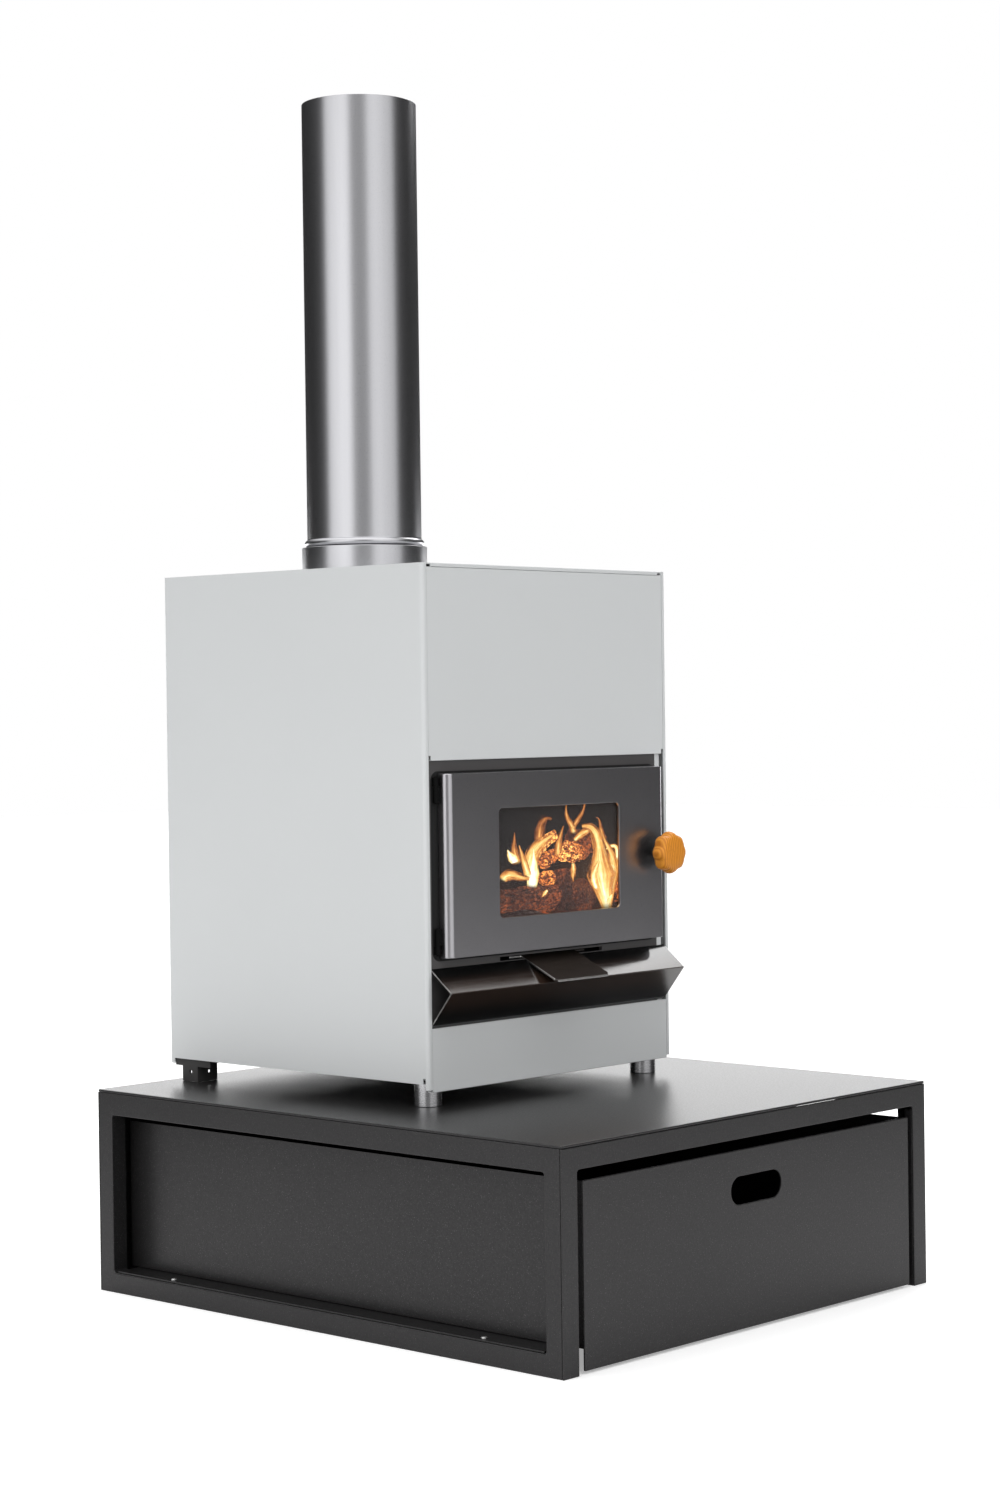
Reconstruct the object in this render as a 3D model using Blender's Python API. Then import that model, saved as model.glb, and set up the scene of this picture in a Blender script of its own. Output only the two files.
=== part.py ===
"""Freestanding wood burning stove on a low storage plinth with a sliding wood drawer.

Frame: metres, +Z up, the stove faces -Y, +X is to the right of someone facing it.
The origin is on the floor, under the centre of the plinth.
"""

import math

import bmesh
import bpy
from mathutils import Vector

MM = 0.001
GAP = 0.3 * MM

# Plinth
PLINTH_W = 0.689
PLINTH_D = 0.782
PLINTH_H = 0.2545
PLINTH_SHEET = 2.0 * MM
PLINTH_RETURN = 22.0 * MM
PLINTH_STILE = 26.0 * MM
PLINTH_TOP_RAIL = 29.0 * MM
PLINTH_BOTTOM_RAIL = 25.0 * MM
PLINTH_FRONT = -PLINTH_D / 2
PLINTH_BACK = PLINTH_D / 2

# Wood drawer
DRAWER_HALF_W = 0.3085
DRAWER_FRONT_Z = (3.5 * MM, 212.8 * MM)
DRAWER_FLOOR_Z = 28.0 * MM
DRAWER_REAR = 0.372
SLOT_Z = 0.1655
SLOT_LENGTH = 0.096
SLOT_HEIGHT = 0.033

# Stove cabinet
CAB_W = 0.452
CAB_D = 0.465
CAB_Z0 = 0.277
CAB_Z1 = 0.9033
CAB_FRONT = -0.077
CASING_SHEET = 1.5 * MM
CORNER_R = 4.5 * MM
FLANGE_FRONT = 7.5 * MM
FLANGE_BACK = 15.0 * MM
PANEL_Z0 = 0.2835

# Firebox
BOX_HALF_W = 0.170
BOX_BACK = 0.425
BOX_Z = (0.440, 0.860)
BOX_WALL = 4.0 * MM
BRICK = 20.0 * MM
MOUTH_HALF_W = 0.145
MOUTH_Z = (0.465, 0.6195)
FRONT_PLATE_X = (-0.2184, 0.2036)
FRONT_PLATE_Y = (3.0 * MM, 8.0 * MM)
FRONT_PLATE_Z = (0.341, 0.890)

# Door, latch and air control
DOOR_HALF_W = 0.2015
DOOR_Z = (0.432, 0.6525)
DOOR_FACE = -14.0 * MM
DOOR_BACK = -3.0 * MM
DOOR_RIM_BACK = 2.2 * MM
DOOR_RIM = 3.0 * MM
DOOR_EDGE_R = 9.0 * MM
WINDOW_HALF_W = 0.112
WINDOW_Z = (0.4755, 0.6085)
HINGE_X = -0.2075
HINGE_Y = -0.5 * MM
HINGE_PIN_R = 1.8 * MM
KNUCKLE_R = 3.2 * MM
LATCH_X = 0.185
LATCH_Z = 0.542
SPINDLE_R = 5.0 * MM
KNOB_R = 27.0 * MM
KNOB_REAR = -24.0 * MM
KNOB_FACE = -46.0 * MM
AIR_SLIDE_HALF_W = 0.050
AIR_SLIDE_Z = 0.4222

# Flue
FLUE_X = 0.0
FLUE_Y = 0.3237
FLUE_R = 0.075
FLUE_WALL = 1.5 * MM
FLUE_TOP = 1.522
COLLAR_R = 0.082
COLLAR_BORE = 0.0765
COLLAR_TOP = 0.9425


def clear_scene():
    """Remove every object of the start-up scene."""
    for old in list(bpy.data.objects):
        bpy.data.objects.remove(old, do_unlink=True)


def make_material(name, colour, roughness, metallic):
    """Principled material with a plain colour."""
    mat = bpy.data.materials.new(name)
    mat.use_nodes = True
    shader = mat.node_tree.nodes["Principled BSDF"]
    shader.inputs["Base Color"].default_value = (*colour, 1.0)
    shader.inputs["Roughness"].default_value = roughness
    shader.inputs["Metallic"].default_value = metallic
    mat.diffuse_color = (*colour, 1.0)
    return mat


def add_object(name, bm, finish, smooth=None):
    """Turn a bmesh into a named object, shaded smooth below the given angle in degrees."""
    bmesh.ops.recalc_face_normals(bm, faces=bm.faces[:])
    if smooth is not None:
        limit = math.radians(smooth)
        for face in bm.faces:
            face.smooth = True
        for edge in bm.edges:
            edge.smooth = edge.is_manifold and edge.calc_face_angle() < limit
    mesh = bpy.data.meshes.new(name)
    bm.to_mesh(mesh)
    bm.free()
    ob = bpy.data.objects.new(name, mesh)
    bpy.context.scene.collection.objects.link(ob)
    colour, roughness, metallic = finish
    mesh.materials.append(make_material(name, colour, roughness, metallic))
    return ob


def box_bm(x, y, z, bevel=0.0, segments=2):
    """Closed box between three (low, high) pairs, with its edges rounded if asked."""
    bm = bmesh.new()
    bmesh.ops.create_cube(bm, size=1.0)
    size = Vector((x[1] - x[0], y[1] - y[0], z[1] - z[0]))
    centre = Vector(((x[0] + x[1]) / 2, (y[0] + y[1]) / 2, (z[0] + z[1]) / 2))
    for v in bm.verts:
        v.co = Vector((v.co.x * size.x, v.co.y * size.y, v.co.z * size.z)) + centre
    if bevel > 0:
        bmesh.ops.bevel(
            bm,
            geom=bm.edges[:],
            offset=bevel,
            segments=segments,
            affect="EDGES",
            profile=0.5,
        )
    return bm


def prism_bm(points, axis, low, high):
    """Extrude a closed outline along one axis. Points are (y, z), (x, z) or (x, y)."""
    bm = bmesh.new()
    ends = []
    for level in (low, high):
        ring = []
        for a, b in points:
            co = {"X": (level, a, b), "Y": (a, level, b), "Z": (a, b, level)}[axis]
            ring.append(bm.verts.new(co))
        ends.append(ring)
    bm.faces.new(ends[0])
    bm.faces.new(list(reversed(ends[1])))
    count = len(points)
    for i in range(count):
        j = (i + 1) % count
        bm.faces.new((ends[0][i], ends[1][i], ends[1][j], ends[0][j]))
    return bm


def skin_bm(loops, closed=False):
    """Join successive rings of points with quads; close to a ring or cap the two ends."""
    bm = bmesh.new()
    rings = [[bm.verts.new(p) for p in loop] for loop in loops]
    count = len(rings[0])
    pairs = list(zip(rings[:-1], rings[1:]))
    if closed:
        pairs.append((rings[-1], rings[0]))
    else:
        bm.faces.new(list(reversed(rings[0])))
        bm.faces.new(rings[-1])
    for a, b in pairs:
        for i in range(count):
            j = (i + 1) % count
            bm.faces.new((a[i], a[j], b[j], b[i]))
    return bm


def rounded_rect(cx, cy, hx, hy, radius, segments=6):
    """Outline of a rectangle with rounded corners, counter-clockwise."""
    points = []
    for quarter, (sx, sy) in enumerate(((1, 1), (-1, 1), (-1, -1), (1, -1))):
        for k in range(segments + 1):
            angle = math.radians(90 * quarter + 90 * k / segments)
            points.append(
                (
                    cx + sx * (hx - radius) + radius * math.cos(angle),
                    cy + sy * (hy - radius) + radius * math.sin(angle),
                )
            )
    return points


def circle(cx, cy, radius, count):
    """Points of a circle, counter-clockwise."""
    points = []
    for k in range(count):
        angle = 2 * math.pi * k / count
        points.append((cx + radius * math.cos(angle), cy + radius * math.sin(angle)))
    return points


def tube_bm(cx, cy, profile, count):
    """Ring of revolution about a vertical axis, from a closed list of (radius, z)."""
    loops = []
    for radius, z in profile:
        loops.append([(px, py, z) for px, py in circle(cx, cy, radius, count)])
    return skin_bm(loops, closed=True)


def turned_y_bm(cx, cz, profile, count):
    """Solid of revolution about an axis along Y, from (radius, y) end to end."""
    loops = []
    for radius, y in profile:
        loops.append([(px, y, pz) for px, pz in circle(cx, cz, radius, count)])
    return skin_bm(loops)


def boolean(ob, tools, operation):
    """Cut or join the tools exactly, then drop the tools."""
    for bm in tools:
        mesh = bpy.data.meshes.new("tool")
        bmesh.ops.recalc_face_normals(bm, faces=bm.faces[:])
        bm.to_mesh(mesh)
        bm.free()
        tool = bpy.data.objects.new("tool", mesh)
        bpy.context.scene.collection.objects.link(tool)
        step = ob.modifiers.new("step", "BOOLEAN")
        step.operation = operation
        step.solver = "EXACT"
        step.object = tool
        graph = bpy.context.evaluated_depsgraph_get()
        graph.update()
        result = bpy.data.meshes.new_from_object(ob.evaluated_get(graph))
        ob.modifiers.clear()
        spent = ob.data
        ob.data = result
        result.name = ob.name
        bpy.data.objects.remove(tool, do_unlink=True)
        bpy.data.meshes.remove(mesh)
        bpy.data.meshes.remove(spent)


def cut(ob, tools):
    boolean(ob, tools, "DIFFERENCE")


def join(ob, tools):
    boolean(ob, tools, "UNION")


def arc(cx, cy, radius, start, end, segments):
    """Points along an arc, angles in degrees."""
    points = []
    for k in range(segments + 1):
        angle = math.radians(start + (end - start) * k / segments)
        points.append((cx + radius * math.cos(angle), cy + radius * math.sin(angle)))
    return points


def front(y):
    """Distance behind the cabinet's front plane turned into a world Y."""
    return CAB_FRONT + y


CHARCOAL = ((0.066, 0.066, 0.068), 0.55, 0.35)
CASING_GREY = ((0.56, 0.58, 0.58), 0.42, 0.0)
STOVE_BLACK = ((0.045, 0.045, 0.047), 0.5, 0.2)
RAW_STEEL = ((0.52, 0.52, 0.53), 0.28, 1.0)
BRICK_TAN = ((0.42, 0.36, 0.28), 0.9, 0.0)
ZINC = ((0.55, 0.55, 0.56), 0.35, 1.0)

clear_scene()

# ---------------------------------------------------------------------------
# Plinth: folded steel frames under one top sheet.

top_bm = box_bm(
    (-PLINTH_W / 2, PLINTH_W / 2),
    (PLINTH_FRONT, PLINTH_BACK),
    (PLINTH_H - 3.0 * MM, PLINTH_H),
    bevel=1.2 * MM,
)
add_object("plinth_top", top_bm, CHARCOAL, smooth=40)

frame_top = PLINTH_H - 3.0 * MM - GAP

# Each side is a folded channel frame: outer skin, window, and returns turned inwards.
side_y = (PLINTH_FRONT + 2.5 * MM + GAP, PLINTH_BACK - 2.0 * MM - GAP)
window_y = (PLINTH_FRONT + PLINTH_STILE, PLINTH_BACK - PLINTH_STILE)
window_z = (PLINTH_BOTTOM_RAIL, PLINTH_H - PLINTH_TOP_RAIL - 2.0 * MM)
win_cy = (window_y[0] + window_y[1]) / 2
win_cz = (window_z[0] + window_z[1]) / 2
win_hy = (window_y[1] - window_y[0]) / 2
win_hz = (window_z[1] - window_z[0]) / 2
side_cy = (side_y[0] + side_y[1]) / 2
side_hy = (side_y[1] - side_y[0]) / 2
for side, sign in (("left", -1), ("right", 1)):
    outer = sign * PLINTH_W / 2
    skin_in = sign * (PLINTH_W / 2 - PLINTH_SHEET)
    inner = sign * (PLINTH_W / 2 - PLINTH_RETURN)
    edge = sign * (PLINTH_W / 2 - 1.0 * MM)
    sheet = PLINTH_SHEET
    profile = [
        (outer, 0.0, 0.0, 0.5, 4.0),
        (inner, 0.0, 0.0, 0.5, 4.0),
        (inner, -sheet, 0.0, 0.5, 3.0),
        (skin_in, -sheet, 0.0, 0.5, 3.0),
    ]
    loops = []
    for x, inset, _, radius, _ in profile:
        half = (side_hy + inset, frame_top / 2 + inset)
        ring = rounded_rect(side_cy, frame_top / 2, half[0], half[1], radius * MM)
        loops.append([(x, a, b) for a, b in ring])
    for x, grow, radius in (
        (skin_in, sheet, 6.0),
        (inner, sheet, 6.0),
        (inner, 0.0, 4.0),
        (edge, 0.0, 4.0),
        (outer, 0.8 * MM, 4.8),
    ):
        ring = rounded_rect(win_cy, win_cz, win_hy + grow, win_hz + grow, radius * MM)
        loops.append([(x, a, b) for a, b in ring])
    add_object(f"plinth_{side}_side", skin_bm(loops, closed=True), CHARCOAL, smooth=40)

# The front frame is an inverted U with its outer and inner edges folded.
stile_in = PLINTH_W / 2 - PLINTH_STILE
rail_z = PLINTH_H - PLINTH_TOP_RAIL
half_w = PLINTH_W / 2
u_outline = [(-half_w, 0.0), (-half_w, frame_top), (half_w, frame_top), (half_w, 0.0)]
u_outline += [(stile_in, 0.0)]
u_outline += arc(stile_in - 4 * MM, rail_z - 4 * MM, 4 * MM, 0, 90, 5)
u_outline += arc(-stile_in + 4 * MM, rail_z - 4 * MM, 4 * MM, 90, 180, 5)
u_outline += [(-stile_in, 0.0)]
front_bm = prism_bm(u_outline, "Y", PLINTH_FRONT, PLINTH_FRONT + 2.5 * MM)
rim = [
    e
    for e in front_bm.edges
    if all(abs(v.co.y - PLINTH_FRONT) < 1e-6 for v in e.verts)
    and not all(v.co.z < 1e-6 for v in e.verts)
    and not all(v.co.z > frame_top - 1e-6 for v in e.verts)
]
bmesh.ops.bevel(front_bm, geom=rim, offset=1.4 * MM, segments=3, affect="EDGES", profile=0.5)
front_frame = add_object("plinth_front_frame", front_bm, CHARCOAL, smooth=40)
fold = PLINTH_FRONT + 2.4 * MM
stile_fold = (fold, PLINTH_FRONT + 12 * MM)
join(
    front_frame,
    [
        box_bm((-stile_in - 2 * MM, -stile_in - 0.02 * MM), stile_fold, (0.0, rail_z - 5 * MM)),
        box_bm((stile_in + 0.02 * MM, stile_in + 2 * MM), stile_fold, (0.0, rail_z - 5 * MM)),
    ],
)

back_bm = box_bm(
    (-PLINTH_W / 2, PLINTH_W / 2),
    (PLINTH_BACK - 2.0 * MM, PLINTH_BACK),
    (0.0, frame_top),
    bevel=0.6 * MM,
)
add_object("plinth_back_panel", back_bm, CHARCOAL, smooth=40)

# Runners are flat rails screwed to the bottom ledges; the drawer floor slides on them.
ledge_x = PLINTH_W / 2 - 3.0 * MM
runner_y = (window_y[0] + 5.0 * MM, window_y[1] - 5.0 * MM)
screw_ys = (-0.2643, 0.2606)
screw_x = PLINTH_W / 2 - 9.5 * MM
for side, sign in (("left", -1), ("right", 1)):
    edges = sorted((sign * ledge_x, sign * (DRAWER_HALF_W - 0.014)))
    runner_bm = box_bm(
        edges, runner_y, (PLINTH_BOTTOM_RAIL + GAP, PLINTH_BOTTOM_RAIL + 2.0 * MM)
    )
    runner = add_object(f"drawer_runner_{side}", runner_bm, CHARCOAL)
    holes = []
    for y in screw_ys:
        holes.append(prism_bm(circle(sign * screw_x, y, 2.4 * MM, 20), "Z", 0.0, 0.05))
    cut(runner, holes)
    for place, y in zip(("front", "rear"), screw_ys):
        z = PLINTH_BOTTOM_RAIL + 2.0 * MM + GAP
        shaft = 2.0 * MM
        loops = []
        for radius, level in (
            (shaft, PLINTH_BOTTOM_RAIL + 0.2 * MM),
            (shaft, z),
            (4.0 * MM, z),
            (4.0 * MM, z + 0.8 * MM),
            (3.0 * MM, z + 1.8 * MM),
            (1.2 * MM, z + 2.3 * MM),
        ):
            loops.append([(a, b, level) for a, b in circle(sign * screw_x, y, radius, 20)])
        add_object(f"runner_screw_{side}_{place}", skin_bm(loops), ZINC, smooth=35)

# ---------------------------------------------------------------------------
# Wood drawer: a flush front with a finger slot, and a folded box behind it.

drawer_y = (PLINTH_FRONT + 0.8 * MM, PLINTH_FRONT + 3.3 * MM)
front_panel_bm = box_bm((-DRAWER_HALF_W, DRAWER_HALF_W), drawer_y, DRAWER_FRONT_Z, bevel=1.0 * MM)
drawer_front = add_object("drawer_front", front_panel_bm, CHARCOAL, smooth=40)
slot_r = SLOT_HEIGHT / 2
slot_cut = rounded_rect(0.0, SLOT_Z, SLOT_LENGTH / 2, slot_r, slot_r - 0.01 * MM, segments=10)
cut(drawer_front, [prism_bm(slot_cut, "Y", PLINTH_FRONT - 0.01, PLINTH_FRONT + 0.01)])

box_front = drawer_y[1] + GAP
drawer_bm = box_bm(
    (-DRAWER_HALF_W, DRAWER_HALF_W),
    (box_front, DRAWER_REAR),
    (DRAWER_FLOOR_Z, DRAWER_FRONT_Z[1] - 0.8 * MM),
)
drawer_box = add_object("drawer_box", drawer_bm, CHARCOAL)
wall = 1.5 * MM
wide_slot = rounded_rect(0, SLOT_Z, SLOT_LENGTH / 2 + 4 * MM, slot_r + 4 * MM, slot_r, 8)
cut(
    drawer_box,
    [
        box_bm(
            (-DRAWER_HALF_W + wall, DRAWER_HALF_W - wall),
            (box_front + wall, DRAWER_REAR - wall),
            (DRAWER_FLOOR_Z + wall, PLINTH_H),
        ),
        prism_bm(wide_slot, "Y", box_front - 0.01, box_front + 0.01),
    ],
)

# ---------------------------------------------------------------------------
# Casing: two folded side panels, back, top, and two front panels.

casing_back_y = front(CAB_D)
relief = 9.0 * MM
for side, sign in (("left", -1), ("right", 1)):
    # Sheet outline seen from above, drawn for the right-hand side and mirrored.
    hw = CAB_W / 2
    r = CORNER_R
    t = CASING_SHEET
    y0 = CAB_FRONT
    y1 = casing_back_y
    outline = [(hw - FLANGE_FRONT, y0)]
    outline += arc(hw - r, y0 + r, r, -90, 0, 6)
    outline += arc(hw - r, y1 - r, r, 0, 90, 6)
    outline += [(hw - FLANGE_BACK, y1), (hw - FLANGE_BACK, y1 - t)]
    outline += arc(hw - r, y1 - r, r - t, 90, 0, 6)
    outline += arc(hw - r, y0 + r, r - t, 0, -90, 6)
    outline += [(hw - FLANGE_FRONT, y0 + t)]
    outline = [(sign * a, b) for a, b in outline]
    shell = prism_bm(outline, "Z", CAB_Z0, CAB_Z1)
    casing = add_object(f"casing_{side}", shell, CASING_GREY, smooth=40)
    reach = sorted((sign * (hw - 0.020), sign * (hw + 0.010)))
    cut(
        casing,
        [
            box_bm(reach, (y0 + relief, y1 - relief), (CAB_Z0 - 0.01, PANEL_Z0)),
            box_bm(
                reach,
                (y0 + r + 0.2 * MM, y0 + relief),
                (CAB_Z0 - 0.01, PANEL_Z0 + 7 * MM),
            ),
        ],
    )
    flange = sorted((sign * (hw - t - 0.01 * MM - 0.0135), sign * (hw - 0.7 * MM)))
    join(
        casing,
        [
            box_bm(flange, (y0 + 0.012, y1 - 0.012), (PANEL_Z0, PANEL_Z0 + t)),
            box_bm(flange, (y0 + 0.008, y1 - 0.008), (CAB_Z1 - t, CAB_Z1)),
        ],
    )
    bpy.context.view_layer.update()

back_half = CAB_W / 2 - FLANGE_BACK - GAP
top_z = (CAB_Z1 - CASING_SHEET, CAB_Z1)
back_panel_bm = box_bm(
    (-back_half, back_half),
    (casing_back_y - CASING_SHEET, casing_back_y),
    (PANEL_Z0 + 2.0 * MM, top_z[0] - GAP),
)
add_object("casing_back", back_panel_bm, CASING_GREY)

top_half = CAB_W / 2 - 15.5 * MM
top_outline = [
    (0.0, top_z[1] - 4.5 * MM),
    (0.0, top_z[1] - 1.0 * MM),
    (0.3 * MM, top_z[1] - 0.3 * MM),
    (1.0 * MM, top_z[1]),
    (CAB_D, top_z[1]),
    (CAB_D, top_z[0]),
    (1.5 * MM, top_z[0]),
    (1.5 * MM, top_z[1] - 4.5 * MM),
]
top_outline = [(front(a), b) for a, b in top_outline]
casing_top = add_object("casing_top", prism_bm(top_outline, "X", -top_half, top_half), CASING_GREY)
flue_y = front(FLUE_Y)
cut(casing_top, [prism_bm(circle(FLUE_X, flue_y, COLLAR_R + 4 * MM, 64), "Z", 0.88, 0.92)])


def folded_panel(name, half_w, z_low, z_high, turn_low, turn_high):
    """Front panel with its top and bottom edges folded back."""
    points = [(turn_low, z_low), (0.9 * MM, z_low), (0.2 * MM, z_low + 0.3 * MM)]
    points += [(0.0, z_low + 1.0 * MM), (0.0, z_high - 1.0 * MM)]
    points += [(0.2 * MM, z_high - 0.3 * MM), (0.9 * MM, z_high), (turn_high, z_high)]
    points += [(turn_high, z_high - 1.5 * MM), (1.5 * MM, z_high - 1.5 * MM)]
    points += [(1.5 * MM, z_low + 1.5 * MM), (turn_low, z_low + 1.5 * MM)]
    outline = [(front(a + 0.2 * MM), b) for a, b in points]
    return add_object(name, prism_bm(outline, "X", -half_w, half_w), CASING_GREY, smooth=25)


upper = folded_panel("front_upper_panel", 0.2180, 0.668, 0.8985, 2.5 * MM, 10 * MM)
notch = []
for sign in (-1, 1):
    span = sorted((sign * 0.2145, sign * 0.2200))
    notch.append(box_bm(span, (front(-0.01), front(0.0032)), (0.660, 0.674)))
cut(upper, notch)
folded_panel("front_lower_panel", 0.2180, 0.2735, 0.3495, 8 * MM, 2.5 * MM)

base_bm = box_bm((-0.2222, 0.2222), (front(0.0125), front(0.452)), (0.2853, 0.2875))
add_object("base_plate", base_bm, STOVE_BLACK)

# ---------------------------------------------------------------------------
# Feet: short steel tubes at the front, folded angle brackets at the back.

foot_r = 16.5 * MM
for side, sign in (("left", -1), ("right", 1)):
    z0 = PLINTH_H + GAP
    foot = tube_bm(
        sign * 0.200,
        front(0.0262),
        [
            (foot_r - 0.6 * MM, z0),
            (foot_r, z0 + 0.6 * MM),
            (foot_r, 0.2826),
            (foot_r - 0.6 * MM, 0.2832),
            (foot_r - 2.5 * MM, 0.2832),
            (foot_r - 2.5 * MM, z0),
        ],
        40,
    )
    add_object(f"front_foot_{side}", foot, RAW_STEEL, smooth=35)

for side, sign in (("left", -1), ("right", 1)):
    x_out = sign * 0.2235
    plate = sorted((x_out, sign * 0.190))
    foot_top = (0.2802, 0.2832)
    bracket = add_object(
        f"rear_foot_{side}",
        box_bm(plate, (front(0.391), front(0.457)), foot_top),
        STOVE_BLACK,
    )
    leaf_z = (PLINTH_H + GAP, 0.2803)
    leaf_side = sorted((x_out, sign * 0.2205))
    leaf_front = sorted((sign * 0.2206, sign * 0.190))
    lip = sorted((x_out, sign * 0.2215))
    join(
        bracket,
        [
            box_bm(lip, (front(0.391), front(0.457)), (0.2745, 0.2803)),
            box_bm(leaf_side, (front(0.415), front(0.444)), leaf_z),
            box_bm(leaf_front, (front(0.415), front(0.418)), leaf_z),
        ],
    )
    side_hole = prism_bm(circle(front(0.4285), 0.2672, 2.6 * MM, 20), "X", -0.23, 0.23)
    face_hole = prism_bm(circle(sign * 0.203, 0.2672, 2.6 * MM, 20), "Y", front(0.40), front(0.43))
    cut(bracket, [side_hole, face_hole])

# ---------------------------------------------------------------------------
# Inner uprights beside the firebox, and the stands that carry it.

for side, span, web in (
    ("left", (-0.2225, -0.2188), (-0.2225, -0.2210)),
    ("right", (0.2041, 0.2136), (0.2121, 0.2136)),
):
    upright = add_object(
        f"upright_{side}",
        box_bm(span, (front(0.004), front(0.0055)), (0.2878, 0.895)),
        CASING_GREY,
    )
    join(upright, [box_bm(web, (front(0.005), front(0.022)), (0.2878, 0.895))])

for side, sign in (("left", -1), ("right", 1)):
    z0 = 0.2875 + GAP
    z1 = BOX_Z[0] - GAP
    outline = [(0.135, z0), (0.165, z0), (0.165, z1), (0.135, z1)]
    outline += [(0.135, z1 - 3 * MM), (0.162, z1 - 3 * MM)]
    outline += [(0.162, z0 + 3 * MM), (0.135, z0 + 3 * MM)]
    outline = [(sign * a, b) for a, b in outline]
    stand = prism_bm(outline, "Y", front(0.030), front(0.410))
    add_object(f"firebox_stand_{side}", stand, STOVE_BLACK)

# ---------------------------------------------------------------------------
# Firebox: welded body, front plate, brick lining and smoke baffle.

body_y = (front(FRONT_PLATE_Y[1] + GAP), front(BOX_BACK))
firebox = add_object(
    "firebox_body", box_bm((-BOX_HALF_W, BOX_HALF_W), body_y, BOX_Z), STOVE_BLACK
)
cut(
    firebox,
    [
        box_bm(
            (-BOX_HALF_W + BOX_WALL, BOX_HALF_W - BOX_WALL),
            (body_y[0] - 0.01, body_y[1] - BOX_WALL),
            (BOX_Z[0] + BOX_WALL, BOX_Z[1] - BOX_WALL),
        ),
        prism_bm(circle(FLUE_X, flue_y, COLLAR_BORE, 64), "Z", BOX_Z[1] - 0.02, BOX_Z[1] + 0.02),
    ],
)

plate_y = (front(FRONT_PLATE_Y[0]), front(FRONT_PLATE_Y[1]))
front_plate = add_object(
    "firebox_front_plate", box_bm(FRONT_PLATE_X, plate_y, FRONT_PLATE_Z), STOVE_BLACK
)
through = (front(-0.01), front(0.02))
cut(
    front_plate,
    [
        box_bm((-MOUTH_HALF_W, MOUTH_HALF_W), through, MOUTH_Z),
        box_bm((LATCH_X - 7 * MM, LATCH_X + 7 * MM), through, (LATCH_Z - 15 * MM, LATCH_Z + 15 * MM)),
        box_bm((-0.095, 0.095), through, (0.4212, 0.4264)),
    ],
)

inner_x = BOX_HALF_W - BOX_WALL - GAP
inner_back = front(BOX_BACK - BOX_WALL - GAP)
floor_z = (BOX_Z[0] + BOX_WALL + GAP, BOX_Z[0] + BOX_WALL + GAP + 20 * MM)
wall_z = (floor_z[1] + GAP, 0.785)
brick_y0 = front(FRONT_PLATE_Y[1] + 0.8 * MM)
floor_bm = box_bm((-inner_x, inner_x), (brick_y0, inner_back), floor_z, bevel=1.5 * MM, segments=1)
add_object("firebrick_floor", floor_bm, BRICK_TAN)
for side, sign in (("left", -1), ("right", 1)):
    span = sorted((sign * inner_x, sign * (inner_x - BRICK)))
    brick_bm = box_bm(
        span, (brick_y0, inner_back - BRICK - GAP), wall_z, bevel=1.5 * MM, segments=1
    )
    add_object(f"firebrick_{side}", brick_bm, BRICK_TAN)
rear_brick_bm = box_bm(
    (-inner_x, inner_x), (inner_back - BRICK, inner_back), wall_z, bevel=1.5 * MM, segments=1
)
add_object("firebrick_back", rear_brick_bm, BRICK_TAN)
baffle_bm = box_bm((-inner_x, inner_x), (front(0.110), inner_back), (0.7853, 0.8003))
add_object("smoke_baffle", baffle_bm, BRICK_TAN)

# ---------------------------------------------------------------------------
# Ash lip: one sheet folded to a V, open at both ends.

lip = [(2.7, 420.5), (-31.5, 393.0), (2.7, 350.3), (2.7, 352.7), (-29.4, 392.85), (2.7, 418.5)]
lip = [(front(a * MM), b * MM) for a, b in lip]
ash_lip_bm = prism_bm(lip, "X", -0.2172, 0.2172)
nose = [
    e
    for e in ash_lip_bm.edges
    if abs(e.verts[0].co.z - 0.393) < 1e-5 and abs(e.verts[1].co.z - 0.393) < 1e-5
]
bmesh.ops.bevel(ash_lip_bm, geom=nose, offset=1.0 * MM, segments=3, affect="EDGES", profile=0.5)
add_object("ash_lip", ash_lip_bm, ((0.03, 0.03, 0.032), 0.2, 0.2), smooth=25)

# ---------------------------------------------------------------------------
# Air control: a T-shaped sheet that slides sideways, its tongue bent down over the lip.

guide_bm = box_bm((-0.130, 0.130), (front(0.0083), front(0.050)), (0.4195, 0.4218))
add_object("air_slide_guide", guide_bm, STOVE_BLACK)

a = AIR_SLIDE_HALF_W
tongue = [(-a + 4 * MM, -0.049), (a - 4 * MM, -0.049), (a - 1.2 * MM, -0.0478), (a, -0.045)]
tongue += [(a, 0.0), (a, 0.010), (0.070, 0.010), (0.070, 0.040)]
tongue += [(-0.070, 0.040), (-0.070, 0.010), (-a, 0.010), (-a, 0.0)]
tongue += [(-a, -0.045), (-a + 1.2 * MM, -0.0478)]
slide_bm = prism_bm(tongue, "Z", 0.0, 2.5 * MM)
slope = 0.585
for v in slide_bm.verts:
    v.co.z += AIR_SLIDE_Z + min(0.0, v.co.y) * slope
    v.co.y = front(v.co.y)
bmesh.ops.triangulate(slide_bm, faces=[f for f in slide_bm.faces if len(f.verts) > 4])
add_object("air_slide", slide_bm, ((0.045, 0.045, 0.047), 0.3, 0.3))

# ---------------------------------------------------------------------------
# Flue: cast collar on the firebox and the beaded pipe that stands in it.

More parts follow.
